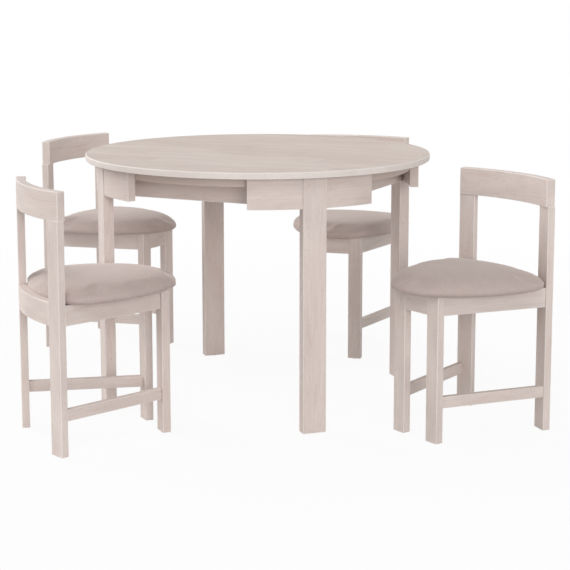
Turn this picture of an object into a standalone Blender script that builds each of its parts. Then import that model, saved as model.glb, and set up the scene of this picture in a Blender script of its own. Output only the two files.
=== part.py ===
"""Round dining table with four chairs that tuck in until their crest rails close a ring under its top.

Every piece of wood is its own object. A table leg carries a curved shoulder, half-lapped over it, and the
aprons, corner blocks and sub-top sit inside the shoulders. A chair's rails are tenoned into its legs and
posts, and its crest rail sits on the tenons of its posts. Each chair hangs under an empty on the upright
axis about which it swings from its place at rest to its place under the top.
"""

import math

import bmesh
import bpy
from mathutils import Matrix, Vector

# Table, in metres
TABLE_HEIGHT = 0.750
TOP_RADIUS = 0.5225
TOP_THICKNESS = 0.019
TOP_EASE = 0.003
TOP_OVERHANG = 0.0325
SUB_TOP_THICKNESS = 0.0282
SHOULDER_THICKNESS = 0.0257
SHOULDER_HEIGHT = 0.0887
SHOULDER_HALF_DEG = 22.3
LEG_WIDTH = 0.069
LEG_DEPTH = 0.032
LEG_TONGUE = 0.0157
LEG_PROUD = 0.002
APRON_THICKNESS = 0.020
APRON_END_SPREAD = 0.0196
APRON_HEIGHT = 0.0582
CORNER_BLOCK_DEPTH = 0.0435
FRONT_LEG_DEG = -71.3
APRON_DEG = 45.0

# Chair, in metres
POST_SPREAD = 0.156
POST_WIDTH = 0.049
POST_DEPTH = 0.022
FRONT_LEG_SPREAD = 0.067
FRONT_LEG_WIDTH = 0.044
FRONT_LEG_DEPTH = 0.024
FRONT_LEG_STANDOFF = 0.1049
CREST_THICKNESS = 0.026
CREST_HALF_DEG = 21.8
CREST_BOTTOM = 0.6415
CREST_HEIGHT = 0.079
SEAT_RAIL_TOP = 0.4145
SIDE_APRON_HEIGHT = 0.0555
SIDE_APRON_THICKNESS = 0.018
SIDE_APRON_REVEAL = 0.0023
MITRE_REVEAL = 0.0057
FRONT_APRON_THICKNESS = 0.018
FRONT_APRON_REVEAL = 0.001
REAR_APRON_TOP = 0.4215
REAR_APRON_HEIGHT = 0.0645
REAR_APRON_THICKNESS = 0.026
STRETCHER_BOTTOM = 0.099
STRETCHER_HEIGHT = 0.032
TENON_THICKNESS = 0.006
TENON_LENGTH = 0.012
TENON_SHOULDER = 0.010
CREST_TENON_WIDTH = 0.030
CREST_TENON_HEIGHT = 0.022

# Seat pad, in metres
PAD_WIDTH = 0.400
PAD_HEIGHT = 0.055
PAD_OVERHANG = 0.0118
PAD_STANDOFF = 0.0589
PAD_EDGE_HEIGHT = 0.0115
PAD_TUCK = 0.014
PAD_CLEARANCE = 0.003

# Fits and eased edges, in metres
GAP = 0.0003
SEAT_GAP = 0.0005
EASE = 0.0015
EMBED = 0.001

# Where the tucked chairs stop, measured from the ring's centre
TUCK_CLEARANCE = 0.003

# Facets
RING_STEPS = 16
DISC_STEPS = 128
PAD_STEPS = 40
PAD_CROWN_RINGS = 7
CROWN_POWER = 2.5
PAD_UNDER_DEG = (30.0, 60.0)
SHARP_DEG = 30.0

# Chairs at rest: x and y as shares of the ring's radius, then the way each one faces and its gap in the ring
REST_SHARES = {
    "front_left": (-1.2249, -1.0549),
    "back_left": (-1.3125, 1.4681),
    "front_right": (1.4611, -0.6170),
    "back_right": (0.7284, 1.5010),
}
FACING_DEG = {
    "front_left": 25.4,
    "back_left": -30.5,
    "front_right": -143.7,
    "back_right": -106.4,
}
GAP_DEG = {
    "front_left": -45.0,
    "back_left": -135.0,
    "front_right": 45.0,
    "back_right": 135.0,
}
LEG_DEG = {
    "front": 0.0,
    "right": 90.0,
    "back": 180.0,
    "left": 270.0,
}

# Seat pad outline from its middle back edge round one side to its middle front edge:
# shares of half the pad's width and of its length
PAD_OUTLINE_SHARES = [
    (0.00, 0.000),
    (0.26, 0.0075),
    (0.51, 0.0285),
    (0.78, 0.068),
    (0.955, 0.148),
    (1.00, 0.267),
    (0.995, 0.396),
    (0.93, 0.534),
    (0.80, 0.693),
    (0.64, 0.822),
    (0.46, 0.916),
    (0.24, 0.978),
    (0.00, 1.000),
]

# Colours in linear light
WOOD_TOP = (0.672, 0.597, 0.552, 1.0)
WOOD_FRAME = (0.578, 0.503, 0.456, 1.0)
WOOD_HIDDEN = (0.50, 0.42, 0.36, 1.0)
FABRIC = (0.445, 0.376, 0.352, 1.0)

# Roughness of each finish
TOP_ROUGHNESS = 0.5
FRAME_ROUGHNESS = 0.55
HIDDEN_ROUGHNESS = 0.7
FABRIC_ROUGHNESS = 0.9

# Sizes that follow from the ones above
RING_RADIUS = TOP_RADIUS - TOP_OVERHANG
TOP_UNDERSIDE = TABLE_HEIGHT - TOP_THICKNESS
SHOULDER_TOP = TOP_UNDERSIDE - GAP
SHOULDER_BOTTOM = SHOULDER_TOP - SHOULDER_HEIGHT
SHOULDER_INNER = RING_RADIUS - SHOULDER_THICKNESS
SUB_TOP_BOTTOM = SHOULDER_TOP - SUB_TOP_THICKNESS
TABLE_APRON_TOP = SUB_TOP_BOTTOM - GAP
LEG_OUTER = RING_RADIUS + LEG_PROUD
SHOULDER_SEAT = SHOULDER_INNER - SEAT_GAP
BLOCK_FRONT = math.sqrt(SHOULDER_SEAT**2 - APRON_END_SPREAD**2)
APRON_TURN = math.radians(APRON_DEG)
APRON_INNER = BLOCK_FRONT * math.cos(APRON_TURN) + APRON_END_SPREAD * math.sin(APRON_TURN)
APRON_OUTER = APRON_INNER + APRON_THICKNESS
POST_CIRCLE = RING_RADIUS - POST_DEPTH / 2
ARC_CENTRE_Y = math.sqrt(POST_CIRCLE**2 - POST_SPREAD**2)
FRONT_LEG_FRONT = ARC_CENTRE_Y - FRONT_LEG_STANDOFF
FRONT_LEG_BACK = FRONT_LEG_FRONT - FRONT_LEG_DEPTH
SIDE_OFFSET = POST_WIDTH / 2 - SIDE_APRON_REVEAL
MITRE_X = FRONT_LEG_SPREAD + FRONT_LEG_WIDTH / 2 - MITRE_REVEAL
MITRE_SPAN = math.hypot(POST_SPREAD - MITRE_X, FRONT_LEG_BACK)
SPLAY = math.atan2(POST_SPREAD - MITRE_X, FRONT_LEG_BACK) + math.asin(SIDE_OFFSET / MITRE_SPAN)
POST_TOP = CREST_BOTTOM - GAP
SIDE_APRON_BOTTOM = SEAT_RAIL_TOP - SIDE_APRON_HEIGHT
REAR_APRON_BOTTOM = REAR_APRON_TOP - REAR_APRON_HEIGHT
PAD_BOTTOM = SEAT_RAIL_TOP + GAP


def clear_scene():
    """Remove every object, so that the model starts from an empty scene."""
    for obj in list(bpy.data.objects):
        bpy.data.objects.remove(obj, do_unlink=True)


def material(name, colour, roughness):
    """A Principled material for one kind of piece."""
    made = bpy.data.materials.new(name)
    made.use_nodes = True
    shader = made.node_tree.nodes["Principled BSDF"]
    shader.inputs["Base Color"].default_value = colour
    shader.inputs["Roughness"].default_value = roughness
    shader.inputs["Metallic"].default_value = 0.0
    made.diffuse_color = colour
    return made


def polar(radius, angle, centre_y=0.0):
    """A plan point at this radius and angle about (0, centre_y)."""
    return Vector((radius * math.cos(angle), centre_y + radius * math.sin(angle)))


def arc(radius, start, end, steps, centre_y=0.0):
    """Plan points along an arc, both ends included."""
    return [polar(radius, start + (end - start) * i / steps, centre_y) for i in range(steps + 1)]


def along_side(across, forward):
    """A plan point given across and along the right side's rails, from the rear post's centre."""
    x = POST_SPREAD + across * math.cos(SPLAY) - forward * math.sin(SPLAY)
    return Vector((x, across * math.sin(SPLAY) + forward * math.cos(SPLAY)))


def forward_to(y, across):
    """How far forward along the side's rails a plan point with this y lies."""
    return (y - across * math.sin(SPLAY)) / math.cos(SPLAY)


def prism(name, outline, low, high, ease=EASE):
    """An object made by raising a plan outline from one height to another, with its edges eased."""
    shape = bmesh.new()
    base = shape.faces.new([shape.verts.new((point[0], point[1], low)) for point in outline])
    raised = bmesh.ops.extrude_face_region(shape, geom=[base])
    tops = [item for item in raised["geom"] if isinstance(item, bmesh.types.BMVert)]
    bmesh.ops.translate(shape, verts=tops, vec=(0, 0, high - low))
    bmesh.ops.recalc_face_normals(shape, faces=shape.faces)
    return from_bmesh(name, shape, ease)


def from_bmesh(name, shape, ease=0.0):
    """A scene object that holds this bmesh, with a Bevel modifier where its edges are eased."""
    mesh = bpy.data.meshes.new(name)
    shape.to_mesh(mesh)
    shape.free()
    obj = bpy.data.objects.new(name, mesh)
    bpy.context.scene.collection.objects.link(obj)
    if ease > 0:
        bevel = obj.modifiers.new("eased_edges", "BEVEL")
        bevel.width = ease
        bevel.segments = 1
        bevel.limit_method = "ANGLE"
    return obj


def combine(obj, operation, others):
    """Join others to the object, or cut them from it, in the order given."""
    for other in others:
        other.hide_render = True
        other.display_type = "WIRE"
        boolean = obj.modifiers.new(operation.lower(), "BOOLEAN")
        boolean.operation = operation
        boolean.object = other
    return obj


def finished(obj, helpers=()):
    """The object's mesh with its modifiers carried out. The object and its helpers are removed."""
    graph = bpy.context.evaluated_depsgraph_get()
    mesh = bpy.data.meshes.new_from_object(obj.evaluated_get(graph))
    mesh.name = obj.name
    for used in (obj, *helpers):
        bpy.data.objects.remove(used, do_unlink=True)
    return mesh


def mirrored(mesh, name):
    """The mesh for the other side of the chair."""
    copy = mesh.copy()
    copy.name = name
    copy.transform(Matrix.Scale(-1.0, 4, (1, 0, 0)))
    copy.flip_normals()
    return copy


def grown(outline, by):
    """A four-cornered outline with each corner moved outwards by the clearance along both sides."""
    middle = sum(outline, Vector((0, 0))) / len(outline)
    along = (outline[1] - outline[0]).normalized()
    beside = Vector((-along.y, along.x))
    moved = []
    for corner in outline:
        reach = corner - middle
        step = along * math.copysign(by, reach.dot(along)) + beside * math.copysign(by, reach.dot(beside))
        moved.append(corner + step)
    return moved


def tenon(name, outline, low, high):
    """The tongue of a joint, from its plan outline."""
    return prism(name, outline, low, high, ease=0.0)


def mortise(name, outline, low, high):
    """The cutter for the slot that a tenon sits in."""
    return prism(name, grown(outline, GAP), low - GAP, high + GAP, ease=0.0)


def mirror_outline(outline):
    """The same plan outline on the left of the chair, still running the same way round."""
    return [Vector((-point.x, point.y)) for point in reversed(outline)]


# Table


def tabletop_mesh():
    """The round top, with an eased rim."""
    rim = arc(TOP_RADIUS, 0.0, 2 * math.pi, DISC_STEPS)[:-1]
    return finished(prism("tabletop", rim, TOP_UNDERSIDE, TABLE_HEIGHT, TOP_EASE))


def sub_top_mesh():
    """The disc under the top, inside the shoulders, that the aprons carry."""
    rim = arc(SHOULDER_SEAT, 0.0, 2 * math.pi, DISC_STEPS)[:-1]
    return finished(prism("sub_top", rim, SUB_TOP_BOTTOM, SHOULDER_TOP))


def table_leg_mesh():
    """A leg along +X: full depth below the shoulder, and a tongue outside it above."""
    below = SHOULDER_BOTTOM - GAP
    profile = [
        (LEG_OUTER - LEG_DEPTH, 0.0),
        (LEG_OUTER, 0.0),
        (LEG_OUTER, SHOULDER_TOP),
        (LEG_OUTER - LEG_TONGUE, SHOULDER_TOP),
        (LEG_OUTER - LEG_TONGUE, below),
        (LEG_OUTER - LEG_DEPTH, below),
    ]
    leg = prism("table_leg", profile, -LEG_WIDTH / 2, LEG_WIDTH / 2)
    # The profile is drawn radius against height, so it is stood up.
    leg.data.transform(Matrix.Rotation(math.radians(90.0), 4, "X"))
    return finished(leg)


def shoulder_mesh():
    """The curved shoulder over a leg along +X, notched on its outer side for the leg's tongue."""
    notch = LEG_WIDTH / 2 + GAP
    floor = LEG_OUTER - LEG_TONGUE - GAP
    half = math.radians(SHOULDER_HALF_DEG)
    edge = math.asin(notch / RING_RADIUS)
    steps = RING_STEPS // 2
    outline = arc(RING_RADIUS, -half, -edge, steps)
    outline += [Vector((floor, -notch)), Vector((floor, notch))]
    outline += arc(RING_RADIUS, edge, half, steps)
    outline += arc(SHOULDER_INNER, half, -half, RING_STEPS)
    return finished(prism("shoulder", outline, SHOULDER_BOTTOM, SHOULDER_TOP))


def apron_board(name, turn):
    """One straight apron, square to the direction turned by this angle, its ends seated on the shoulders."""
    outer = math.acos(APRON_OUTER / SHOULDER_SEAT)
    inner = math.acos(APRON_INNER / SHOULDER_SEAT)
    outline = [polar(SHOULDER_SEAT, turn + end) for end in (-inner, -outer, outer, inner)]
    return prism(name, outline, TABLE_APRON_TOP - APRON_HEIGHT, TABLE_APRON_TOP)


def corner_block(name, turn, near_side, far_side):
    """A block behind a leg. Each side enters its board by this much, or stays clear where negative."""
    front = BLOCK_FRONT - GAP
    back = front - CORNER_BLOCK_DEPTH
    points = []
    for radius, side, depth in (
        (back, -1, near_side),
        (front, -1, near_side),
        (front, 1, far_side),
        (back, 1, far_side),
    ):
        reach = APRON_END_SPREAD + (BLOCK_FRONT - radius) / math.tan(APRON_TURN)
        reach += depth / math.sin(APRON_TURN)
        points.append(Vector((radius, side * reach)))
    spin = Matrix.Rotation(turn, 2)
    low = TABLE_APRON_TOP - APRON_HEIGHT + EASE + GAP
    return prism(name, [spin @ point for point in points], low, TABLE_APRON_TOP - EASE - GAP)


def apron_half_mesh():
    """Two aprons that meet behind the leg along +X, with its corner block and the next leg's block."""
    board = apron_board("apron_half", APRON_TURN)
    other = apron_board("other_board", -APRON_TURN)
    shared = corner_block("shared_block", 0.0, EMBED, EMBED)
    end = corner_block("end_block", 2 * APRON_TURN, EMBED, -GAP)
    helpers = [shared, other, end]
    combine(board, "UNION", helpers)
    return finished(board, helpers)


# Chair


def crest_tenon_outline():
    """Where the right post's tenon enters the crest rail."""
    half_width = CREST_TENON_WIDTH / 2
    half_depth = TENON_THICKNESS / 2
    corners = ((-half_width, -half_depth), (half_width, -half_depth))
    corners += ((half_width, half_depth), (-half_width, half_depth))
    return [along_side(*corner) for corner in corners]


def side_tenon_outline(start, end):
    """The plan of a side rail's tenon between two places along the rail."""
    middle = SIDE_OFFSET - SIDE_APRON_THICKNESS / 2
    low, high = middle - TENON_THICKNESS / 2, middle + TENON_THICKNESS / 2
    return [along_side(low, start), along_side(high, start), along_side(high, end), along_side(low, end)]


def rear_of_rail():
    """The place along the side where its rails meet the post."""
    return POST_DEPTH / 2 + GAP


def front_of_rail():
    """The place along the side where the middle of its rails meets the front leg."""
    return forward_to(FRONT_LEG_BACK - GAP, SIDE_OFFSET - SIDE_APRON_THICKNESS / 2)


def rear_tenon():
    """The tenon that a side rail has in its post."""
    start = rear_of_rail()
    return side_tenon_outline(start - TENON_LENGTH, start + EMBED)


def front_tenon():
    """The tenon that a side rail has in its front leg."""
    end = front_of_rail()
    return side_tenon_outline(end - SIDE_APRON_THICKNESS, end + TENON_LENGTH)


def front_apron_tenon():
    """The tenon of the front apron in the right front leg."""
    middle = FRONT_LEG_FRONT - FRONT_APRON_REVEAL - FRONT_APRON_THICKNESS / 2
    face = FRONT_LEG_SPREAD - FRONT_LEG_WIDTH / 2 - GAP
    low, high = middle - TENON_THICKNESS / 2, middle + TENON_THICKNESS / 2
    start, end = face - EMBED, face + TENON_LENGTH
    return [Vector((start, low)), Vector((end, low)), Vector((end, high)), Vector((start, high))]


def rear_apron_tenon():
    """The tenon of the curved rear apron in the right post."""
    face = -POST_WIDTH / 2 - GAP
    start, end = face - TENON_SHOULDER / 2, face + TENON_LENGTH
    low, high = -TENON_THICKNESS / 2, TENON_THICKNESS / 2
    return [along_side(start, low), along_side(end, low), along_side(end, high), along_side(start, high)]


def inside(low, height):
    """The heights between which a rail's tenons lie."""
    return low + TENON_SHOULDER, low + height - TENON_SHOULDER


def side_rail_mesh(name, low, height):
    """A rail of the right side, square at the post and mitred at the front leg, with a tenon at each end."""
    across = (SIDE_OFFSET - SIDE_APRON_THICKNESS, SIDE_OFFSET)
    start = rear_of_rail()
    outline = [along_side(across[0], start), along_side(across[1], start)]
    outline += [along_side(side, forward_to(FRONT_LEG_BACK - GAP, side)) for side in reversed(across)]
    rail = prism(name, outline, low, low + height)
    span = inside(low, height)
    tenons = [tenon("tenon", plan, *span) for plan in (rear_tenon(), front_tenon())]
    combine(rail, "UNION", tenons)
    return finished(rail, tenons)


def rear_post_mesh():
    """The right rear post, with mortises for its three rails and a tenon for the crest rail."""
    half_width, half_depth = POST_WIDTH / 2, POST_DEPTH / 2
    corners = ((-half_width, -half_depth), (half_width, -half_depth))
    corners += ((half_width, half_depth), (-half_width, half_depth))
    post = prism("rear_post_right", [along_side(*corner) for corner in corners], 0.0, POST_TOP)
    top = tenon("tenon", crest_tenon_outline(), POST_TOP - TENON_SHOULDER, POST_TOP + CREST_TENON_HEIGHT)
    slots = [
        mortise("side_apron_slot", rear_tenon(), *inside(SIDE_APRON_BOTTOM, SIDE_APRON_HEIGHT)),
        mortise("stretcher_slot", rear_tenon(), *inside(STRETCHER_BOTTOM, STRETCHER_HEIGHT)),
        mortise("rear_apron_slot", rear_apron_tenon(), *inside(REAR_APRON_BOTTOM, REAR_APRON_HEIGHT)),
    ]
    combine(post, "UNION", [top])
    combine(post, "DIFFERENCE", slots)
    return finished(post, [top, *slots])


def front_leg_mesh():
    """The right front leg, with mortises for the side rails and the front apron."""
    half = FRONT_LEG_WIDTH / 2
    left, right = FRONT_LEG_SPREAD - half, FRONT_LEG_SPREAD + half
    outline = [(left, FRONT_LEG_BACK), (right, FRONT_LEG_BACK)]
    outline += [(right, FRONT_LEG_FRONT), (left, FRONT_LEG_FRONT)]
    leg = prism("front_leg_right", outline, 0.0, SEAT_RAIL_TOP)
    slots = [
        mortise("side_apron_slot", front_tenon(), *inside(SIDE_APRON_BOTTOM, SIDE_APRON_HEIGHT)),
        mortise("stretcher_slot", front_tenon(), *inside(STRETCHER_BOTTOM, STRETCHER_HEIGHT)),
        mortise("front_apron_slot", front_apron_tenon(), *inside(SIDE_APRON_BOTTOM, SIDE_APRON_HEIGHT)),
    ]
    combine(leg, "DIFFERENCE", slots)
    return finished(leg, slots)


def curved_rail(name, outer, thickness, half_angle, low, high):
    """A rail bent to the ring's circle, behind the seat."""
    back = -math.pi / 2
    steps = RING_STEPS
    outline = arc(outer, back - half_angle, back + half_angle, steps, ARC_CENTRE_Y)
    outline += arc(outer - thickness, back + half_angle, back - half_angle, steps, ARC_CENTRE_Y)
    return prism(name, outline, low, high)


def crest_rail_mesh():
    """The crest rail, which closes its part of the ring when the chair is tucked in."""
    high = CREST_BOTTOM + CREST_HEIGHT
    half_angle = math.radians(CREST_HALF_DEG)
    crest = curved_rail("crest_rail", RING_RADIUS, CREST_THICKNESS, half_angle, CREST_BOTTOM, high)
    span = (CREST_BOTTOM - TENON_SHOULDER, POST_TOP + CREST_TENON_HEIGHT)
    plans = (crest_tenon_outline(), mirror_outline(crest_tenon_outline()))
    slots = [mortise("post_slot", plan, *span) for plan in plans]
    combine(crest, "DIFFERENCE", slots)
    return finished(crest, slots)


def rear_apron_mesh():
    """The curved apron between the posts, with its ends cut square to them."""
    inner = RING_RADIUS - REAR_APRON_THICKNESS
    face = -POST_WIDTH / 2 - GAP
    ends = [end_angle(radius, face) for radius in (RING_RADIUS, inner)]
    back = -math.pi / 2
    outline = arc(RING_RADIUS, back - ends[0], back + ends[0], RING_STEPS, ARC_CENTRE_Y)
    outline += arc(inner, back + ends[1], back - ends[1], RING_STEPS, ARC_CENTRE_Y)
    rail = prism("rear_apron", outline, REAR_APRON_BOTTOM, REAR_APRON_TOP)
    span = inside(REAR_APRON_BOTTOM, REAR_APRON_HEIGHT)
    plans = (rear_apron_tenon(), mirror_outline(rear_apron_tenon()))
    tenons = [tenon("tenon", plan, *span) for plan in plans]
    combine(rail, "UNION", tenons)
    return finished(rail, tenons)


def end_angle(radius, face):
    """The half-angle at which an arc about the ring's centre meets the inner side of the right post."""
    across = ARC_CENTRE_Y * math.sin(SPLAY) - POST_SPREAD * math.cos(SPLAY)
    return math.asin((face - across) / radius) + SPLAY


def front_apron_mesh():
    """The short apron between the front legs."""
    face = FRONT_LEG_SPREAD - FRONT_LEG_WIDTH / 2 - GAP
    front = FRONT_LEG_FRONT - FRONT_APRON_REVEAL
    back = front - FRONT_APRON_THICKNESS
    outline = [(-face, back), (face, back), (face, front), (-face, front)]
    rail = prism("front_apron", outline, SIDE_APRON_BOTTOM, SEAT_RAIL_TOP)
    span = inside(SIDE_APRON_BOTTOM, SIDE_APRON_HEIGHT)
    plans = (front_apron_tenon(), mirror_outline(front_apron_tenon()))
    tenons = [tenon("tenon", plan, *span) for plan in plans]
    combine(rail, "UNION", tenons)
    return finished(rail, tenons)


# Seat pad


def smooth_point(points, place):
    """A point on the smooth closed curve through the points, place counted in points."""
    count = len(points)
    index = math.floor(place)
    t = place - index
    before, start, end, after = (points[(index + step) % count] for step in (-1, 0, 1, 2))
    return 0.5 * (
        2 * start
        + (end - before) * t
        + (2 * before - 5 * start + 4 * end - after) * t**2
        + (3 * start - before - 3 * end + after) * t**3
    )


def pad_limits():
    """Lines that the pad stays behind: the posts' front faces, and the sides of its quarter of the ring."""
    limits = []
    for side in (1, -1):
        into_post = Vector((side * math.sin(SPLAY), -math.cos(SPLAY)))
        post = Vector((side * POST_SPREAD, 0.0))
        limits.append((into_post, into_post.dot(post) - POST_DEPTH / 2 - PAD_CLEARANCE))
        diagonal = Vector((side, 1.0)).normalized()
        centre = Vector((0.0, ARC_CENTRE_Y + TUCK_CLEARANCE))
        limits.append((diagonal, diagonal.dot(centre) - PAD_CLEARANCE))
    return limits


def pad_outline():
    """The pad's widest edge in plan, anticlockwise from the middle of its back."""
    rear = -PAD_OVERHANG
    length = ARC_CENTRE_Y - PAD_STANDOFF - rear
    half = [Vector((x * PAD_WIDTH / 2, rear + y * length)) for x, y in PAD_OUTLINE_SHARES]
    points = half + [Vector((-point.x, point.y)) for point in reversed(half[1:-1])]
    middle = Vector((0.0, rear + length / 2))
    outline = []
    for step in range(PAD_STEPS):
        reach = smooth_point(points, step * len(points) / PAD_STEPS) - middle
        scale = 1.0
        for normal, limit in pad_limits():
            if reach.dot(normal) > 0:
                scale = min(scale, (limit - middle.dot(normal)) / reach.dot(normal))
        outline.append(middle + reach * scale)
    return middle, outline


def pad_rings():
    """The pad's rings from underside to crown: how far each is scaled or drawn in, then its height."""
    edge = PAD_BOTTOM + PAD_EDGE_HEIGHT
    rise = PAD_HEIGHT - PAD_EDGE_HEIGHT
    rings = [(1.0, PAD_TUCK, PAD_BOTTOM)]
    for degrees in PAD_UNDER_DEG:
        turn = math.radians(degrees)
        height = edge - PAD_EDGE_HEIGHT * math.cos(turn)
        rings.append((1.0, PAD_TUCK * (1 - math.sin(turn)), height))
    rings.append((1.0, 0.0, edge))
    for step in range(1, PAD_CROWN_RINGS + 1):
        turn = math.pi / 2 * step / (PAD_CROWN_RINGS + 1)
        share = math.cos(turn) ** (2 / CROWN_POWER)
        rings.append((share, 0.0, edge + rise * math.sin(turn) ** (2 / CROWN_POWER)))
    return rings


def seat_pad_mesh():
    """The padded seat: a flat base, edges drawn in below, and a crown."""
    shape = bmesh.new()
    middle, outline = pad_outline()
    loops = []
    for share, tuck, height in pad_rings():
        loop = []
        for point in outline:
            reach = point - middle
            place = middle + reach * share - reach.normalized() * tuck
            loop.append(shape.verts.new((place.x, place.y, height)))
        loops.append(loop)
    for lower, upper in zip(loops, loops[1:]):
        for i in range(PAD_STEPS):
            j = (i + 1) % PAD_STEPS
            shape.faces.new((lower[i], lower[j], upper[j], upper[i]))
    shape.faces.new(list(reversed(loops[0])))
    crown = shape.verts.new((middle.x, middle.y, PAD_BOTTOM + PAD_HEIGHT))
    for i in range(PAD_STEPS):
        shape.faces.new((loops[-1][i], loops[-1][(i + 1) % PAD_STEPS], crown))
    bmesh.ops.recalc_face_normals(shape, faces=shape.faces)
    return finished(from_bmesh("seat_pad", shape))


# Assembly


def place_object(name, mesh, surface, parent, turn=0.0):
    """One named piece under its parent."""
    obj = bpy.data.objects.new(name, mesh)
    bpy.context.scene.collection.objects.link(obj)
    if not mesh.materials:
        mesh.materials.append(surface)
        mesh.shade_smooth()
        mesh.set_sharp_from_angle(angle=math.radians(SHARP_DEG))
    obj.parent = parent
    obj.rotation_euler.z = turn
    return obj


def empty(name, parent, x, y, turn=0.0):
    """An empty that carries a group of pieces."""
    made = bpy.data.objects.new(name, None)
    bpy.context.scene.collection.objects.link(made)
    made.parent = parent
    made.location = (x, y, 0.0)
    made.rotation_euler.z = turn
    return made


def leg_bearing(side):
    """The direction of a table leg from the ring's centre."""
    return math.radians(FRONT_LEG_DEG + LEG_DEG[side])


def build_table(parent):
    """The table about the ring's centre."""
    place_object("tabletop", tabletop_mesh(), material("tabletop_wood", WOOD_TOP, TOP_ROUGHNESS), parent)
    place_object("sub_top", sub_top_mesh(), material("sub_top_wood", WOOD_HIDDEN, HIDDEN_ROUGHNESS), parent)
    leg, leg_wood = table_leg_mesh(), material("table_leg_wood", WOOD_FRAME, FRAME_ROUGHNESS)
    shoulder, shoulder_wood = shoulder_mesh(), material("shoulder_wood", WOOD_FRAME, FRAME_ROUGHNESS)
    for side in LEG_DEG:
        bearing = leg_bearing(side)
        place_object(f"table_leg_{side}", leg, leg_wood, parent, bearing)
        place_object(f"shoulder_{side}", shoulder, shoulder_wood, parent, bearing)
    half, half_wood = apron_half_mesh(), material("table_apron_wood", WOOD_FRAME, FRAME_ROUGHNESS)
    for side in ("front", "back"):
        place_object(f"apron_half_{side}", half, half_wood, parent, leg_bearing(side))


def chair_meshes():
    """The meshes of one chair with their materials, by name."""
    pieces = {
        "crest_rail": crest_rail_mesh(),
        "front_apron": front_apron_mesh(),
        "rear_apron": rear_apron_mesh(),
    }
    stretcher = side_rail_mesh("side_stretcher_right", STRETCHER_BOTTOM, STRETCHER_HEIGHT)
    apron = side_rail_mesh("side_apron_right", SIDE_APRON_BOTTOM, SIDE_APRON_HEIGHT)
    for name, mesh in (
        ("rear_post", rear_post_mesh()),
        ("front_leg", front_leg_mesh()),
        ("side_apron", apron),
        ("side_stretcher", stretcher),
    ):
        pieces[f"{name}_right"] = mesh
        pieces[f"{name}_left"] = mirrored(mesh, f"{name}_left")
    made = {
        name: (mesh, material(f"{name}_wood", WOOD_FRAME, FRAME_ROUGHNESS))
        for name, mesh in pieces.items()
    }
    made["seat_pad"] = (seat_pad_mesh(), material("seat_pad_fabric", FABRIC, FABRIC_ROUGHNESS))
    return made


def swing_axis(rest, tucked, turn):
    """The upright axis about which this turn carries the chair from its rest place to its tucked place."""
    middle = (rest + tucked) / 2
    step = tucked - rest
    return middle + Vector((-step.y, step.x)) / math.tan(turn / 2) / 2


def build_chairs(parent):
    """The four chairs at rest, each under an empty on its swing axis."""
    meshes = chair_meshes()
    for name, shares in REST_SHARES.items():
        rest = Vector(shares) * RING_RADIUS
        outward = math.radians(FRONT_LEG_DEG + GAP_DEG[name])
        facing = math.radians(FACING_DEG[name])
        tucked = polar(ARC_CENTRE_Y + TUCK_CLEARANCE, outward)
        turn = math.remainder(outward + math.pi - facing, 2 * math.pi)
        axis = swing_axis(rest, tucked, turn)
        pivot = empty(f"{name}_chair_axis", parent, axis.x, axis.y)
        place = rest - axis
        chair = empty(f"{name}_chair", pivot, place.x, place.y, facing - math.pi / 2)
        for piece, (mesh, surface) in meshes.items():
            place_object(f"{name}_{piece}", mesh, surface, chair)


def centre_on_floor(root):
    """Move the whole set so that the floor point under the middle of its box is the origin."""
    bpy.context.view_layer.update()
    corners = [
        obj.matrix_world @ vertex.co
        for obj in bpy.context.scene.objects
        if obj.type == "MESH"
        for vertex in obj.data.vertices
    ]
    for axis in (0, 1):
        places = [corner[axis] for corner in corners]
        root.location[axis] = -(min(places) + max(places)) / 2


def main():
    """Build the whole set."""
    clear_scene()
    root = empty("dining_set", None, 0.0, 0.0)
    build_table(root)
    build_chairs(root)
    centre_on_floor(root)


main()
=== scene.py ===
"""Round dining table with four chairs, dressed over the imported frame.

The wooden pieces are built again with rounded edges and a grain of their own, each over its CAD node. The
seat pads are simulated cloth. Screws, nuts and glides are made by Geometry Nodes. Sizes are in metres unless
a name ends in mm or deg.
"""

import logging
import math
from abc import ABC, abstractmethod
from collections.abc import Iterable, Sequence
from dataclasses import dataclass, field
from enum import Enum
from typing import Any

import bmesh
import bpy
import numpy as np
from mathutils import Matrix, Vector


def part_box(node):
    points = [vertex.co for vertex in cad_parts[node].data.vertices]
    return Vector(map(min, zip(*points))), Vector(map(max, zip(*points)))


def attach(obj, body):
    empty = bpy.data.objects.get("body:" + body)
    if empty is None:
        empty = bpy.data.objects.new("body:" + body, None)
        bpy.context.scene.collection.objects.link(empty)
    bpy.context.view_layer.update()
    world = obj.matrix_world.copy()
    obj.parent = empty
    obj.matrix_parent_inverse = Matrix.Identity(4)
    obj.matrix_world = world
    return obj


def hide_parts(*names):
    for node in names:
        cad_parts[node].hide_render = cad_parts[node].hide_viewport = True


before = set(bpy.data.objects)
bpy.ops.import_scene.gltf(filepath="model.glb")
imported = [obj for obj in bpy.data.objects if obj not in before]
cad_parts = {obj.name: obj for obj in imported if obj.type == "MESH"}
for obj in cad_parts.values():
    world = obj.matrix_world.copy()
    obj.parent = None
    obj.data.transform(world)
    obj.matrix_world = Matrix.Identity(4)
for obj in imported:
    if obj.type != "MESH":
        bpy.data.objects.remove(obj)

LOG = logging.getLogger("dining_set")
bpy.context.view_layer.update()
PHOTO_PIXELS = 570
CHAIRS = ("front_left", "back_left", "front_right", "back_right")
LEGS = ("front", "right", "back", "left")
UP = Vector((0.0, 0.0, 1.0))
RIGHT = Vector((1.0, 0.0, 0.0))
AHEAD = Vector((0.0, 1.0, 0.0))
WHITE = "#FFFFFF"

# The gap that is left between pieces that meet.
HAIR = 0.0003

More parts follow.
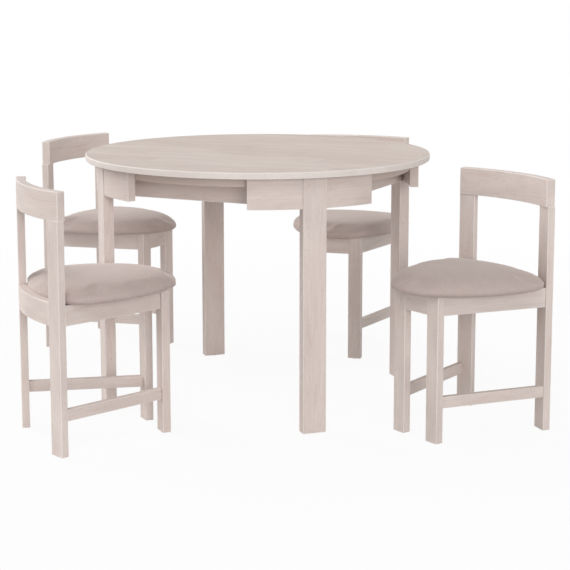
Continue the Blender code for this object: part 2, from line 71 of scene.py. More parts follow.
# The node types that are used most.
MATH = "ShaderNodeMath"
VECTOR_MATH = "ShaderNodeVectorMath"
MAP_RANGE = "ShaderNodeMapRange"
SEPARATE = "ShaderNodeSeparateXYZ"
COMBINE = "ShaderNodeCombineXYZ"
ATTRIBUTE = "ShaderNodeAttribute"
WHITE_NOISE = "ShaderNodeTexWhiteNoise"


class Side(Enum):
    """The two sides of a chair, each with the sign of its X."""

    RIGHT = 1
    LEFT = -1

    @property
    def word(self) -> str:
        """The side's name as the CAD nodes spell it."""
        return self.name.lower()


class Slot(Enum):
    """The record's material slots."""

    TOP = "top_wood"
    FRAME = "frame_wood"
    HIDDEN = "hidden_wood"
    PAD = "pad_fabric"


# Helpers for materials


def linear(code: str) -> tuple[float, float, float, float]:
    """Turn an sRGB colour into linear light.

    Args:
        code: The colour as #RRGGBB.

    Returns:
        Red, green, blue and alpha in linear light.
    """
    channels = [int(code[start : start + 2], 16) / 255 for start in (1, 3, 5)]
    red, green, blue = (c / 12.92 if c <= 0.04045 else ((c + 0.055) / 1.055) ** 2.4 for c in channels)
    return red, green, blue, 1.0


def plug(tree: bpy.types.NodeTree, node: bpy.types.Node, inputs: dict[str | int, Any]) -> None:
    """Set a node's inputs.

    Args:
        tree: The node's tree.
        node: The node.
        inputs: What each input takes: a socket to link from, a list of sockets where it joins several, a
            plain value, or None to leave it alone.
    """
    for key, value in inputs.items():
        sources = value if isinstance(value, list) else [value]
        if isinstance(sources[0], bpy.types.NodeSocket):
            for source in sources:
                tree.links.new(source, node.inputs[key])
        elif value is not None:
            node.inputs[key].default_value = value


def add(
    tree: bpy.types.NodeTree,
    kind: str,
    *inputs: Any,
    named: dict[str | int, Any] | None = None,
    **settings: Any,
) -> Any:
    """Add a node with its settings and links.

    Args:
        tree: The tree that gets the node.
        kind: The node's type.
        inputs: What its inputs take, in order, as in plug.
        named: The same for inputs that are given by name or number.
        settings: Values for the node's own properties.

    Returns:
        The node's outputs.
    """
    node = tree.nodes.new(kind)
    for name, value in settings.items():
        setattr(node, name, value)
    plug(tree, node, dict(enumerate(inputs)) | (named or {}))
    return node.outputs


def weighted(tree: bpy.types.NodeTree, parts: Iterable[tuple[Any, float]]) -> Any:
    """Add sockets up, each times its share.

    Args:
        tree: The tree that gets the nodes.
        parts: Pairs of a socket and its share.

    Returns:
        The sum's socket.
    """
    total: Any = 0.0
    for value, share in parts:
        total = add(tree, MATH, value, share, total, operation="MULTIPLY_ADD")[0]
    return total


def layered(tree: bpy.types.NodeTree, base: str, layers: Iterable[tuple[Any, str]]) -> Any:
    """Lay colours over one another.

    Args:
        tree: The tree that gets the nodes.
        base: The lowest colour as #RRGGBB.
        layers: Pairs of a socket for how much of a layer shows, and its colour, from the lowest up.

    Returns:
        The colour's socket.
    """
    shown: Any = linear(base)
    for share, code in layers:
        # The colour inputs are the Mix node's seventh and eighth, and the colour is its third output.
        colours = {6: shown, 7: linear(code)}
        shown = add(tree, "ShaderNodeMix", share, named=colours, data_type="RGBA")[2]
    return shown


def new_material(name: str) -> tuple[bpy.types.Material, bpy.types.NodeTree, bpy.types.Node]:
    """Start a material.

    Args:
        name: The material's name.

    Returns:
        The material, its tree and its Principled shader.
    """
    made = bpy.data.materials.new(name)
    made.use_nodes = True
    tree = made.node_tree
    return made, tree, tree.nodes["Principled BSDF"]


@dataclass(frozen=True)
class Pattern:
    """Soft random lumps of a real size, which show between two levels of their noise."""

    size_mm: tuple[float, float, float]
    start: float = 0.3
    end: float = 0.7
    detail: float = 2.0

    def lumps(self, tree: bpy.types.NodeTree, vector: Any) -> Any:
        """Draw the plain noise.

        Args:
            tree: The tree that gets the nodes.
            vector: The position in metres.

        Returns:
            The noise's value and its colour.
        """
        rates = tuple(1000.0 / size for size in self.size_mm)
        place = add(tree, VECTOR_MATH, vector, rates, operation="MULTIPLY")[0]
        return add(tree, "ShaderNodeTexNoise", named={"Vector": place, "Scale": 1.0, "Detail": self.detail})

    def spread(self, tree: bpy.types.NodeTree, lumps: Any, low: float, high: float) -> Any:
        """Carry the noise from its two levels to these two values, and hold it at them.

        Args:
            tree: The tree that gets the node.
            lumps: The noise's value.
            low: What the lower level becomes.
            high: What the upper level becomes.

        Returns:
            The result's socket.
        """
        return add(tree, MAP_RANGE, lumps, self.start, self.end, low, high)[0]

    def draw(self, tree: bpy.types.NodeTree, vector: Any, share: float = 1.0) -> Any:
        """Draw the pattern.

        Args:
            tree: The tree that gets the nodes.
            vector: The position in metres.
            share: The pattern's value where it shows fully.

        Returns:
            The pattern's socket, 0 where it doesn't show.
        """
        return self.spread(tree, self.lumps(tree, vector)[0], 0.0, share)


# Finishes


@dataclass(frozen=True)
class Staves:
    """How a solid top is glued up from short boards laid end to end in rows.

    A real glue line is a tenth of a millimetre. It is drawn wider here, so that a close view shows it. The
    upright rim is painted paler than the top face, as painted light for the brighter light on the rim. Each
    stave's grain is cut from somewhere else in the board, up to cut_apart away.
    """

    width_mm: float = 92.0
    length_mm: float = 560.0
    glue_line_mm: float = 0.7
    stagger: float = 7.3
    cut_apart: tuple[float, float, float] = (3.0, 0.05, 0.04)
    # The rim's colour and its share are painted light: the upright rim is painted paler than the top face.
    rim: str = "#EBE4E0"
    rim_light_share: float = 0.50
    rim_light_slope: tuple[float, float] = (0.4, 0.95)

    def lay(self, tree: bpy.types.NodeTree, grain: Any) -> tuple[Any, Any, Any]:
        """Split a board's position into staves.

        Args:
            tree: The material's tree.
            grain: The position along, across and through the top, in metres.

        Returns:
            The position with each stave's own grain, the stave's tone, and 1 on a glue line.
        """
        parts = add(tree, SEPARATE, grain)
        across = add(tree, MATH, parts[1], 1000.0 / self.width_mm, operation="MULTIPLY")[0]
        row = add(tree, MATH, across, operation="FLOOR")[0]
        shift = add(tree, WHITE_NOISE, named={"W": row}, noise_dimensions="1D")["Value"]
        along = add(tree, MATH, parts[0], 1000.0 / self.length_mm, shift, operation="MULTIPLY_ADD")[0]
        along = add(tree, MATH, shift, self.stagger, along, operation="MULTIPLY_ADD")[0]
        stave = add(tree, MATH, along, operation="FLOOR")[0]
        key = add(tree, COMBINE, row, stave)[0]
        drawn = add(tree, WHITE_NOISE, named={"Vector": key}, noise_dimensions="3D")
        moved = add(tree, VECTOR_MATH, drawn["Color"], self.cut_apart, operation="MULTIPLY")[0]
        own = add(tree, VECTOR_MATH, grain, moved, operation="ADD")[0]
        lines = []
        for place, size in ((across, self.width_mm), (along, self.length_mm)):
            edge = add(tree, MATH, place, 0.5, operation="PINGPONG")[0]
            lines.append(add(tree, MATH, edge, self.glue_line_mm / size / 2, operation="LESS_THAN")[0])
        return own, drawn["Value"], add(tree, MATH, *lines, operation="MAXIMUM")[0]

    def rim_wash(self, tree: bpy.types.NodeTree) -> Any:
        """Find the upright rim, which is painted paler, as painted light for the brighter light on it.

        Args:
            tree: The material's tree.

        Returns:
            A socket for how much of the rim's painted light shows.
        """
        normal = add(tree, "ShaderNodeTexCoord")["Normal"]
        level = add(tree, MATH, add(tree, SEPARATE, normal)[2], operation="ABSOLUTE")[0]
        return add(tree, MAP_RANGE, level, *self.rim_light_slope, self.rim_light_share, 0.0)[0]


@dataclass(frozen=True)
class WashedWood:
    """Solid rubberwood, planed, washed with a thin white stain and sealed with a matt lacquer.

    The stain veils the wood, so that the growth rings show only as soft, slightly pinker bands, and here
    and there it lies thicker and turns the wood a cool grey. The rounded edges are painted whiter, as a
    painted highlight. The open pores take less stain and show as short dark flecks. They are 0.2 mm wide in
    the real wood and are drawn 1.8 mm wide, and the fibres 2.6 mm wide, so that the render can show them.
    The lacquer gives a low, broad shine. The shares are those of the rings, fibres, patches and the board's
    own tone in its shade, and the relief's are those of the fibres, rings and pores.
    """

    name: str
    pale: str = "#DFD4CE"
    deep: str = "#C6B4AB"
    fleck: str = "#9D8A81"
    cool: str = "#BBADAC"
    # The edge colour and its share are a painted highlight, laid on the rounded edges.
    edge: str = "#F4EFEC"
    ring_mm: float = 11.0
    ring_sharpness: float = 5.0
    pith_mm: float = 60.0
    bend_mm: float = 55.0
    wander: Pattern = Pattern((380.0, 120.0, 120.0))
    veil: Pattern = Pattern((120.0, 34.0, 34.0), 0.45, 0.65)
    fibre: Pattern = Pattern((70.0, 2.6, 2.6), 0.25, 0.75, 3.0)
    patch: Pattern = Pattern((190.0, 42.0, 42.0))
    pore: Pattern = Pattern((12.0, 1.8, 1.8), 0.66, 0.74, 1.0)
    thick_wash: Pattern = Pattern((150.0, 60.0, 60.0), 0.48, 0.68, 3.0)
    cool_share: float = 0.22
    edge_share: float = 0.40
    fleck_share: float = 0.42
    glue_share: float = 0.35
    shares: tuple[float, float, float, float] = (0.22, 0.36, 0.30, 0.24)
    relief_mm: float = 0.05
    relief_shares: tuple[float, float, float] = (0.5, 0.2, -0.8)
    shine_range: tuple[float, float] = (0.1, 0.9)
    roughness: tuple[float, float] = (0.56, 0.68)
    gloss: float = 0.35
    ior: float = 1.5
    staves: Staves | None = None

    def build(self) -> bpy.types.Material:
        """Make the material.

        Returns:
            The material, which reads the grain, tone and eased attributes of the piece.
        """
        made, tree, shader = new_material(self.name)
        grain = add(tree, ATTRIBUTE, attribute_name="grain")["Vector"]
        tone = add(tree, ATTRIBUTE, attribute_name="tone")["Fac"]
        glue = None
        if self.staves:
            grain, tone, glue = self.staves.lay(tree, grain)
        band = self.rings(tree, grain)
        fibre = self.fibre.draw(tree, grain)
        patch = self.patch.draw(tree, grain)
        pores = self.pore.draw(tree, grain, self.fleck_share)
        shade = weighted(tree, zip((band, fibre, patch, tone), self.shares))
        thick = self.thick_wash.draw(tree, grain, self.cool_share)
        layers = [(shade, self.deep), (thick, self.cool), (pores, self.fleck)]
        if self.staves:
            layers.append((add(tree, MATH, glue, self.glue_share, operation="MULTIPLY")[0], self.fleck))
            # Painted light: the upright rim is painted paler than the top face.
            layers.append((self.staves.rim_wash(tree), self.staves.rim))
        # Painted highlight: the rounded edges are painted paler.
        eased = add(tree, ATTRIBUTE, attribute_name="eased")["Fac"]
        layers.append((add(tree, MATH, eased, self.edge_share, operation="MULTIPLY")[0], self.edge))
        height = weighted(tree, zip((fibre, band, pores), self.relief_shares))
        relief = {"Strength": 1.0, "Distance": self.relief_mm / 1000, "Height": height}
        inputs = {
            "Base Color": layered(tree, self.pale, layers),
            "Roughness": add(tree, MAP_RANGE, fibre, *self.shine_range, *self.roughness)[0],
            "Normal": add(tree, "ShaderNodeBump", named=relief)[0],
            "IOR": self.ior,
            "Specular IOR Level": self.gloss,
        }
        plug(tree, shader, inputs)
        return made

    def rings(self, tree: bpy.types.NodeTree, grain: Any) -> Any:
        """Draw the growth rings about a pith beside the board, which wanders along it.

        Args:
            tree: The material's tree.
            grain: The position along, across and through the board, in metres.

        Returns:
            The ring pattern, 0 to 1.
        """
        wander = self.wander.lumps(tree, grain)[1]
        centred = add(tree, VECTOR_MATH, wander, (0.5, 0.5, 0.5), operation="SUBTRACT")[0]
        bend = (0.0, self.bend_mm / 1000, self.bend_mm / 1000)
        moved = add(tree, VECTOR_MATH, centred, bend, grain, operation="MULTIPLY_ADD")[0]
        pith = (0.0, 0.0, self.pith_mm / 1000)
        reach = add(tree, VECTOR_MATH, moved, (0.0, 1.0, 1.0), pith, operation="MULTIPLY_ADD")[0]
        length = add(tree, VECTOR_MATH, reach, operation="LENGTH")["Value"]
        turns = add(tree, MATH, length, 2 * math.pi * 1000 / self.ring_mm, operation="MULTIPLY")[0]
        wave = add(tree, MATH, turns, operation="SINE")[0]
        swell = add(tree, MAP_RANGE, wave, -1.0, 1.0, 0.0, 1.0)[0]
        band = add(tree, MATH, swell, self.ring_sharpness, operation="POWER")[0]
        return add(tree, MATH, band, self.veil.draw(tree, grain), operation="MULTIPLY")[0]


@dataclass(frozen=True)
class BirchPly:
    """Birch plywood, sawn and washed as the solid wood is.

    Its faces are even and its sawn edges show the layers. A real layer is 1.4 mm. The shares are those of
    the layers and the fibres.
    """

    name: str
    pale: str = "#D3C6BE"
    deep: str = "#B5A298"
    layer_mm: float = 2.8
    layer_edge: tuple[float, float] = (0.2, 0.3)
    fibre: Pattern = Pattern((60.0, 2.0, 2.0), detail=3.0)
    shares: tuple[float, float] = (0.45, 0.55)
    relief_mm: float = 0.06
    roughness: float = 0.6

    def build(self) -> bpy.types.Material:
        """Make the material.

        Returns:
            The material, which reads the grain attribute's third part as the height through the board.
        """
        made, tree, shader = new_material(self.name)
        grain = add(tree, ATTRIBUTE, attribute_name="grain")["Vector"]
        height = add(tree, SEPARATE, grain)[2]
        layers = add(tree, MATH, height, 1000.0 / self.layer_mm, operation="MULTIPLY")[0]
        layer = add(tree, MATH, layers, 0.5, operation="PINGPONG")[0]
        layer = add(tree, MAP_RANGE, layer, *self.layer_edge, 0.0, 1.0)[0]
        fibre = self.fibre.lumps(tree, grain)[0]
        shade = weighted(tree, zip((layer, fibre), self.shares))
        relief = {"Strength": 1.0, "Distance": self.relief_mm / 1000, "Height": fibre}
        inputs = {
            "Base Color": layered(tree, self.pale, [(shade, self.deep)]),
            "Normal": add(tree, "ShaderNodeBump", named=relief)[0],
            "Roughness": self.roughness,
        }
        plug(tree, shader, inputs)
        return made


@dataclass(frozen=True)
class SuedeCloth:
    """Polyester microfibre, woven and then brushed to a short nap.

    The nap gives a matt, soft surface with a pale bloom where it is seen along the surface, and faint
    cloudy marks where it lies differently. Along the bottom edge, where the cloth is drawn under, shade is
    painted in: the colour darkens towards the underside. The fibres are far too fine to see, so the nap's
    grain is drawn 3 mm across. The shares are those of the marks, nap and weave, and the relief's are those
    of the nap and weave.
    """

    name: str
    pale: str = "#C6B7B1"
    deep: str = "#AB9994"
    # The under colour is painted shade along the pad's bottom edge.
    under: str = "#8E7C78"
    bloom: str = "#EFE6E1"
    marks: Pattern = Pattern((42.0, 42.0, 42.0), detail=3.0)
    nap: Pattern = Pattern((3.0, 3.0, 3.0))
    weave: Pattern = Pattern((12.0, 2.1, 3.0), detail=1.0)
    shares: tuple[float, float, float] = (0.18, 0.5, 0.32)
    relief_mm: float = 0.25
    relief_shares: tuple[float, float] = (0.7, 0.3)
    relief_strength: float = 0.5
    # The band of painted shade along the bottom edge: how high it reaches and how dark it gets.
    shade_band_mm: float = 15.0
    shade_band_share: float = 0.55
    roughness: float = 0.92
    gloss: float = 0.2
    sheen: float = 0.60
    sheen_roughness: float = 0.45

    def build(self) -> bpy.types.Material:
        """Make the material.

        Returns:
            The material, which reads the pad's cloth attribute: the place on the pad, from its underside up.
        """
        made, tree, shader = new_material(self.name)
        cloth = add(tree, ATTRIBUTE, attribute_name="cloth")["Vector"]
        marks, nap = self.marks.draw(tree, cloth), self.nap.draw(tree, cloth)
        weave = self.weave.lumps(tree, cloth)[0]
        shade = weighted(tree, zip((marks, nap, weave), self.shares))
        rise = add(tree, SEPARATE, cloth)[2]
        # Painted shade: the colour darkens towards the pad's underside along its bottom edge.
        roll = add(tree, MAP_RANGE, rise, 0.0, self.shade_band_mm / 1000, self.shade_band_share, 0.0)[0]
        height = weighted(tree, zip((nap, weave), self.relief_shares))
        relief = {"Strength": self.relief_strength, "Distance": self.relief_mm / 1000, "Height": height}
        inputs = {
            "Base Color": layered(tree, self.pale, [(shade, self.deep), (roll, self.under)]),
            "Normal": add(tree, "ShaderNodeBump", named=relief)[0],
            "Roughness": self.roughness,
            "Specular IOR Level": self.gloss,
            "Sheen Weight": self.sheen,
            "Sheen Roughness": self.sheen_roughness,
            "Sheen Tint": linear(self.bloom),
        }
        plug(tree, shader, inputs)
        return made


@dataclass(frozen=True)
class ZincSteel:
    """Pressed steel, zinc plated and brushed by handling in the box: cool grey with a soft, uneven shine."""

    name: str
    colour: str = "#B9BCC0"
    dull: str = "#8C9094"
    wear: Pattern = Pattern((3.0, 3.0, 3.0), detail=3.0)
    roughness: tuple[float, float] = (0.28, 0.45)

    def build(self) -> bpy.types.Material:
        """Make the material.

        Returns:
            The material, on Object coordinates.
        """
        made, tree, shader = new_material(self.name)
        wear = self.wear.lumps(tree, add(tree, "ShaderNodeTexCoord")["Object"])[0]
        inputs = {
            "Base Color": layered(tree, self.colour, [(wear, self.dull)]),
            "Roughness": self.wear.spread(tree, wear, *self.roughness),
            "Metallic": 1.0,
        }
        plug(tree, shader, inputs)
        return made


@dataclass(frozen=True)
class MouldedNylon:
    """Moulded nylon: milky, waxy and very slightly mottled."""

    name: str
    colour: str = "#C9C3BB"
    shadow: str = "#B3ACA3"
    mottle: Pattern = Pattern((5.0, 5.0, 5.0))
    roughness: float = 0.5
    ior: float = 1.53

    def build(self) -> bpy.types.Material:
        """Make the material.

        Returns:
            The material, on Object coordinates.
        """
        made, tree, shader = new_material(self.name)
        mottle = self.mottle.lumps(tree, add(tree, "ShaderNodeTexCoord")["Object"])[0]
        colour = layered(tree, self.colour, [(mottle, self.shadow)])
        plug(tree, shader, {"Base Color": colour, "Roughness": self.roughness, "IOR": self.ior})
        return made


class Finish(Enum):
    """The finishes of the set."""

    FRAME = WashedWood("whitewashed_rubberwood_frame")
    TOP = WashedWood("whitewashed_rubberwood_glued_top", pale="#D6CBC3", deep="#B8A79C", staves=Staves())
    BLOCK = WashedWood("planed_rubberwood_block", pale="#D8C6B4", deep="#BFA791", fleck="#8F7763")
    PLY = BirchPly("washed_birch_plywood")
    SUEDE = SuedeCloth("brushed_microfibre_cloth")
    ZINC = ZincSteel("zinc_plated_steel")
    NYLON = MouldedNylon("moulded_nylon_glide")


@dataclass
class Palette:
    """The materials of the set, each built once."""

    built: dict[Finish, bpy.types.Material] = field(default_factory=dict)

    def get(self, finish: Finish) -> bpy.types.Material:
        """Find a finish's material, which is built when it is first asked for.

        Args:
            finish: The finish.

        Returns:
            The material.
        """
        if finish not in self.built:
            self.built[finish] = finish.value.build()
        return self.built[finish]


# Shapes and grain


@dataclass(frozen=True)
class Place:
    """An upright frame standing on the floor."""

    origin: Vector
    bearing: float

    @property
    def matrix(self) -> Matrix:
        """The matrix that carries local points into the shared frame."""
        return Matrix.Translation(self.origin) @ Matrix.Rotation(self.bearing, 4, "Z")

    def turned(self, angle: float) -> "Place":
        """The same place, turned by this angle about its upright axis."""
        return Place(self.origin, self.bearing + angle)


@dataclass(frozen=True)
class StraightGrain:
    """Grain that runs straight along a board."""

    along: Vector
    across: Vector

    def measure(self, points: np.ndarray) -> np.ndarray:
        """Lay a board's points out along, across and through its grain.

        Args:
            points: The points in local metres, one row each.

        Returns:
            The same points measured by the grain.
        """
        axes = [self.along.normalized(), self.across.normalized(), self.along.cross(self.across).normalized()]
        return points @ np.array([list(axis) for axis in axes]).T


@dataclass(frozen=True)
class BentGrain:
    """Grain that follows a curved rail about an upright axis."""

    centre_y: float
    radius: float

    def measure(self, points: np.ndarray) -> np.ndarray:
        """Lay a rail's points out along its curve, up its face and through it.

        Args:
            points: The points in local metres, one row each.

        Returns:
            The same points measured by the grain.
        """
        x, y = points[:, 0], points[:, 1] - self.centre_y
        reach = np.hypot(x, y)
        middle = math.atan2(float(y.mean()), float(x.mean()))
        angle = np.arctan2(y, x) - middle
        angle = (angle + math.pi) % (2 * math.pi) - math.pi
        return np.stack([angle * self.radius, points[:, 2], reach - self.radius], axis=1)


Grain = StraightGrain | BentGrain


def polar(radius: float, angle: float, centre_y: float = 0.0) -> Vector:
    """A plan point at this radius and angle about (0, centre_y)."""
    return Vector((radius * math.cos(angle), centre_y + radius * math.sin(angle)))


def arc(radius: float, start: float, end: float, steps: int, centre_y: float = 0.0) -> list[Vector]:
    """Plan points along an arc, both ends included."""
    return [polar(radius, start + (end - start) * i / steps, centre_y) for i in range(steps + 1)]


def circle(radius: float, steps: int) -> list[Vector]:
    """Plan points around a whole circle."""
    return arc(radius, 0.0, 2 * math.pi, steps)[:-1]


def mirrored(points: Sequence[Vector]) -> list[Vector]:
    """Plan points of the left side from those of the right, in the opposite order."""
    return [Vector((-point.x, point.y)) for point in reversed(points)]


def coordinates(mesh: bpy.types.Mesh) -> np.ndarray:
    """Read a mesh's points.

    Args:
        mesh: The mesh.

    Returns:
        The points, one row each.
    """
    points = np.empty(len(mesh.vertices) * 3, np.float32)
    mesh.vertices.foreach_get("co", points)
    return points.reshape(-1, 3).astype(float)


def place_points(mesh: bpy.types.Mesh, points: np.ndarray) -> None:
    """Move the mesh's points to these places, one row each."""
    mesh.vertices.foreach_set("co", points.astype(np.float32).ravel())
    mesh.update()


def write_attribute(mesh: bpy.types.Mesh, name: str, values: np.ndarray, domain: str = "POINT") -> None:
    """Store values on a mesh's points or faces.

    Args:
        mesh: The mesh.
        name: The attribute's name.
        values: One number for each point or face, or one row of three.
        domain: What the values belong to, POINT or FACE.
    """
    kind, key = ("FLOAT_VECTOR", "vector") if values.ndim == 2 else ("FLOAT", "value")
    made = mesh.attributes.new(name, kind, domain)
    made.data.foreach_set(key, values.astype(np.float32).ravel())


def object_of(name: str, data: Any) -> bpy.types.Object:
    """Put a mesh, a camera or a lamp in the scene, at the origin.

    Args:
        name: The object's name.
        data: The mesh, camera or lamp.

    Returns:
        The new object.
    """
    made = bpy.data.objects.new(name, data)
    bpy.context.scene.collection.objects.link(made)
    return made


def evaluated(obj: bpy.types.Object) -> bpy.types.Mesh:
    """Carry out an object's modifiers and remove it.

    Args:
        obj: The object, which is gone afterwards.

    Returns:
        Its finished mesh.
    """
    graph = bpy.context.evaluated_depsgraph_get()
    mesh = bpy.data.meshes.new_from_object(obj.evaluated_get(graph))
    mesh.name = obj.name
    bpy.data.objects.remove(obj, do_unlink=True)
    return mesh


def rounded(name: str, shape: bmesh.types.BMesh, ease: float, segments: int = 3) -> bpy.types.Mesh:
    """Round a shape's edges as a router and sandpaper leave them.

    The rounded faces get the value 1 in the eased attribute, which the washed wood reads to paint a highlight
    on them.

    Args:
        name: The mesh's name.
        shape: The sharp shape, freed here.
        ease: The radius of its edges.
        segments: How many facets each rounded edge has.

    Returns:
        The smooth-shaded mesh, with nearly flat faces.
    """
    bmesh.ops.recalc_face_normals(shape, faces=shape.faces)
    mesh = bpy.data.meshes.new(name)
    shape.to_mesh(mesh)
    shape.free()
    mesh.shade_smooth()
    # The bevel marks its faces with the second of two empty material slots.
    for _ in range(2):
        mesh.materials.append(None)
    obj = object_of(name, mesh)
    bevel = obj.modifiers.new("eased", "BEVEL")
    bevel.material = 1
    bevel.width = ease
    bevel.segments = segments
    bevel.limit_method = "ANGLE"
    flat = obj.modifiers.new("flat_faces", "WEIGHTED_NORMAL")
    flat.weight = 90
    flat.keep_sharp = False
    mesh = evaluated(obj)
    marks = np.empty(len(mesh.polygons), np.int32)
    mesh.polygons.foreach_get("material_index", marks)
    write_attribute(mesh, "eased", marks, "FACE")
    mesh.polygons.foreach_set("material_index", np.zeros_like(marks))
    return mesh


def raised(name: str, outline: Sequence[Vector], low: float, high: float, ease: float) -> bpy.types.Mesh:
    """Raise a plan outline into a board with rounded edges.

    Args:
        name: The mesh's name.
        outline: The plan outline.
        low: The height of its underside.
        high: The height of its top.
        ease: The radius of its edges.

    Returns:
        The finished mesh.
    """
    shape = bmesh.new()
    base = shape.faces.new([shape.verts.new((point[0], point[1], low)) for point in outline])
    lifted = bmesh.ops.extrude_face_region(shape, geom=[base])
    tops = [item for item in lifted["geom"] if isinstance(item, bmesh.types.BMVert)]
    bmesh.ops.translate(shape, verts=tops, vec=(0, 0, high - low))
    return rounded(name, shape, ease)


# Hardware made by Geometry Nodes


# Pairs of a place and the way a head there faces.
Spots = Sequence[tuple[Vector, Vector]]


@dataclass(frozen=True)
class Head(ABC):
    """A small piece of hardware that is repeated at points, each facing its own way."""

    name: str

    @abstractmethod
    def values(self) -> dict[str, float]:
        """The tree's size inputs by name."""

    @abstractmethod
    def shape(self, tree: bpy.types.NodeTree, given: Any) -> Any:
        """Make one head that stands on the floor of its own frame.

        Args:
            tree: The tree that gets the nodes.
            given: The group input's sockets.

        Returns:
            The head's geometry.
        """

    def tree(self) -> bpy.types.NodeTree:
        """Build the node tree: one head at each point, facing as the point says.

        Returns:
            The tree, with its named inputs.
        """
        tree = bpy.data.node_groups.new(self.name, "GeometryNodeTree")
        face = tree.interface
        face.new_socket("Geometry", in_out="INPUT", socket_type="NodeSocketGeometry")
        for label in self.values():
            face.new_socket(label, in_out="INPUT", socket_type="NodeSocketFloat")
        face.new_socket("Material", in_out="INPUT", socket_type="NodeSocketMaterial")
        face.new_socket("Geometry", in_out="OUTPUT", socket_type="NodeSocketGeometry")
        given = add(tree, "NodeGroupInput")
        facing = {"Name": "facing"}
        way = add(tree, "GeometryNodeInputNamedAttribute", named=facing, data_type="FLOAT_VECTOR")[0]
        turn = add(tree, "FunctionNodeAlignRotationToVector", named={"Vector": way}, axis="Z")[0]
        dots = add(tree, "GeometryNodeMeshToPoints", named={"Mesh": given["Geometry"]})[0]
        spots = {"Points": dots, "Instance": self.shape(tree, given), "Rotation": turn}
        laid = add(tree, "GeometryNodeInstanceOnPoints", named=spots)[0]
        real = add(tree, "GeometryNodeRealizeInstances", named={"Geometry": laid})[0]
        look = {"Geometry": real, "Material": given["Material"]}
        dressed = add(tree, "GeometryNodeSetMaterial", named=look)[0]
        add(tree, "NodeGroupOutput", named={"Geometry": dressed})
        return tree

    def repeat(self, name: str, spots: Spots, look: bpy.types.Material) -> bpy.types.Mesh:
        """Set a head at every spot.

        Args:
            name: The mesh's name.
            spots: Pairs of a place and the way its head faces.
            look: The heads' material.

        Returns:
            One plain mesh of all the heads.
        """
        points = bpy.data.meshes.new(name)
        points.from_pydata([tuple(place) for place, _ in spots], [], [])
        write_attribute(points, "facing", np.array([list(way) for _, way in spots]))
        obj = object_of(name, points)
        modifier = obj.modifiers.new("repeated", "NODES")
        tree = bpy.data.node_groups.get(self.name) or self.tree()
        modifier.node_group = tree
        inputs = {s.name: s.identifier for s in tree.interface.items_tree if s.in_out == "INPUT"}
        for label, value in self.values().items():
            modifier[inputs[label]] = value
        modifier[inputs["Material"]] = look
        return evaluated(obj)


@dataclass(frozen=True)
class Stud(Head):
    """A round head with a domed top, such as a screw's head or a nail-in glide.

    The dome is a share of the height. The cross is the width of the slots cut into the head, where nothing
    is cut at 0, and its reach is their share of the diameter.
    """

    diameter: float
    height: float
    dome: float = 0.5
    cross: float = 0.0
    around: int = 20
    dome_power: float = 2.6
    cross_reach: float = 0.62

    def values(self) -> dict[str, float]:
        """The tree's size inputs by name."""
        sizes = (self.diameter, self.height, self.dome, self.cross)
        return dict(zip(("Diameter", "Height", "Dome Share", "Cross Width"), sizes))

    def shape(self, tree: bpy.types.NodeTree, given: Any) -> Any:
        """Make one head that stands on the floor of its own frame.

        Args:
            tree: The tree that gets the nodes.
            given: The group input's sockets.

        Returns:
            The head's geometry.
        """
        height = given["Height"]
        radius = add(tree, MATH, given["Diameter"], 0.5, operation="MULTIPLY")[0]
        disc = {"Vertices": self.around, "Side Segments": 2, "Fill Segments": 3}
        disc |= {"Radius": radius, "Depth": height}
        head = add(tree, "GeometryNodeMeshCylinder", named=disc, fill_type="TRIANGLE_FAN")["Mesh"]
        where = add(tree, SEPARATE, add(tree, "GeometryNodeInputPosition")[0])
        flat = add(tree, COMBINE, where[0], where[1])[0]
        reach = add(tree, VECTOR_MATH, flat, operation="LENGTH")["Value"]
        share = add(tree, MATH, reach, radius, operation="DIVIDE")[0]
        drop = add(tree, MATH, share, self.dome_power, operation="POWER")[0]
        upper = add(tree, MATH, where[2], 0.0, operation="GREATER_THAN")[0]
        for factor in (given["Dome Share"], height, upper):
            drop = add(tree, MATH, drop, factor, operation="MULTIPLY")[0]
        middle = add(tree, MATH, height, 0.5, operation="MULTIPLY")[0]
        lift = add(tree, MATH, middle, drop, operation="SUBTRACT")[0]
        lifted = {"Geometry": head, "Offset": add(tree, COMBINE, None, None, lift)[0]}
        domed = add(tree, "GeometryNodeSetPosition", named=lifted)[0]
        if not self.cross:
            return domed
        span = add(tree, MATH, given["Diameter"], self.cross_reach, operation="MULTIPLY")[0]
        up = add(tree, COMBINE, None, None, height)[0]
        bars = []
        for sizes in ((given["Cross Width"], span), (span, given["Cross Width"])):
            size = add(tree, COMBINE, *sizes, height)[0]
            bar = add(tree, "GeometryNodeMeshCube", named={"Size": size})["Mesh"]
            bars.append(add(tree, "GeometryNodeTransform", named={"Geometry": bar, "Translation": up})[0])
        cut = {"Mesh 1": domed, "Mesh 2": bars}
        return add(tree, "GeometryNodeMeshBoolean", named=cut, operation="DIFFERENCE", solver="EXACT")["Mesh"]


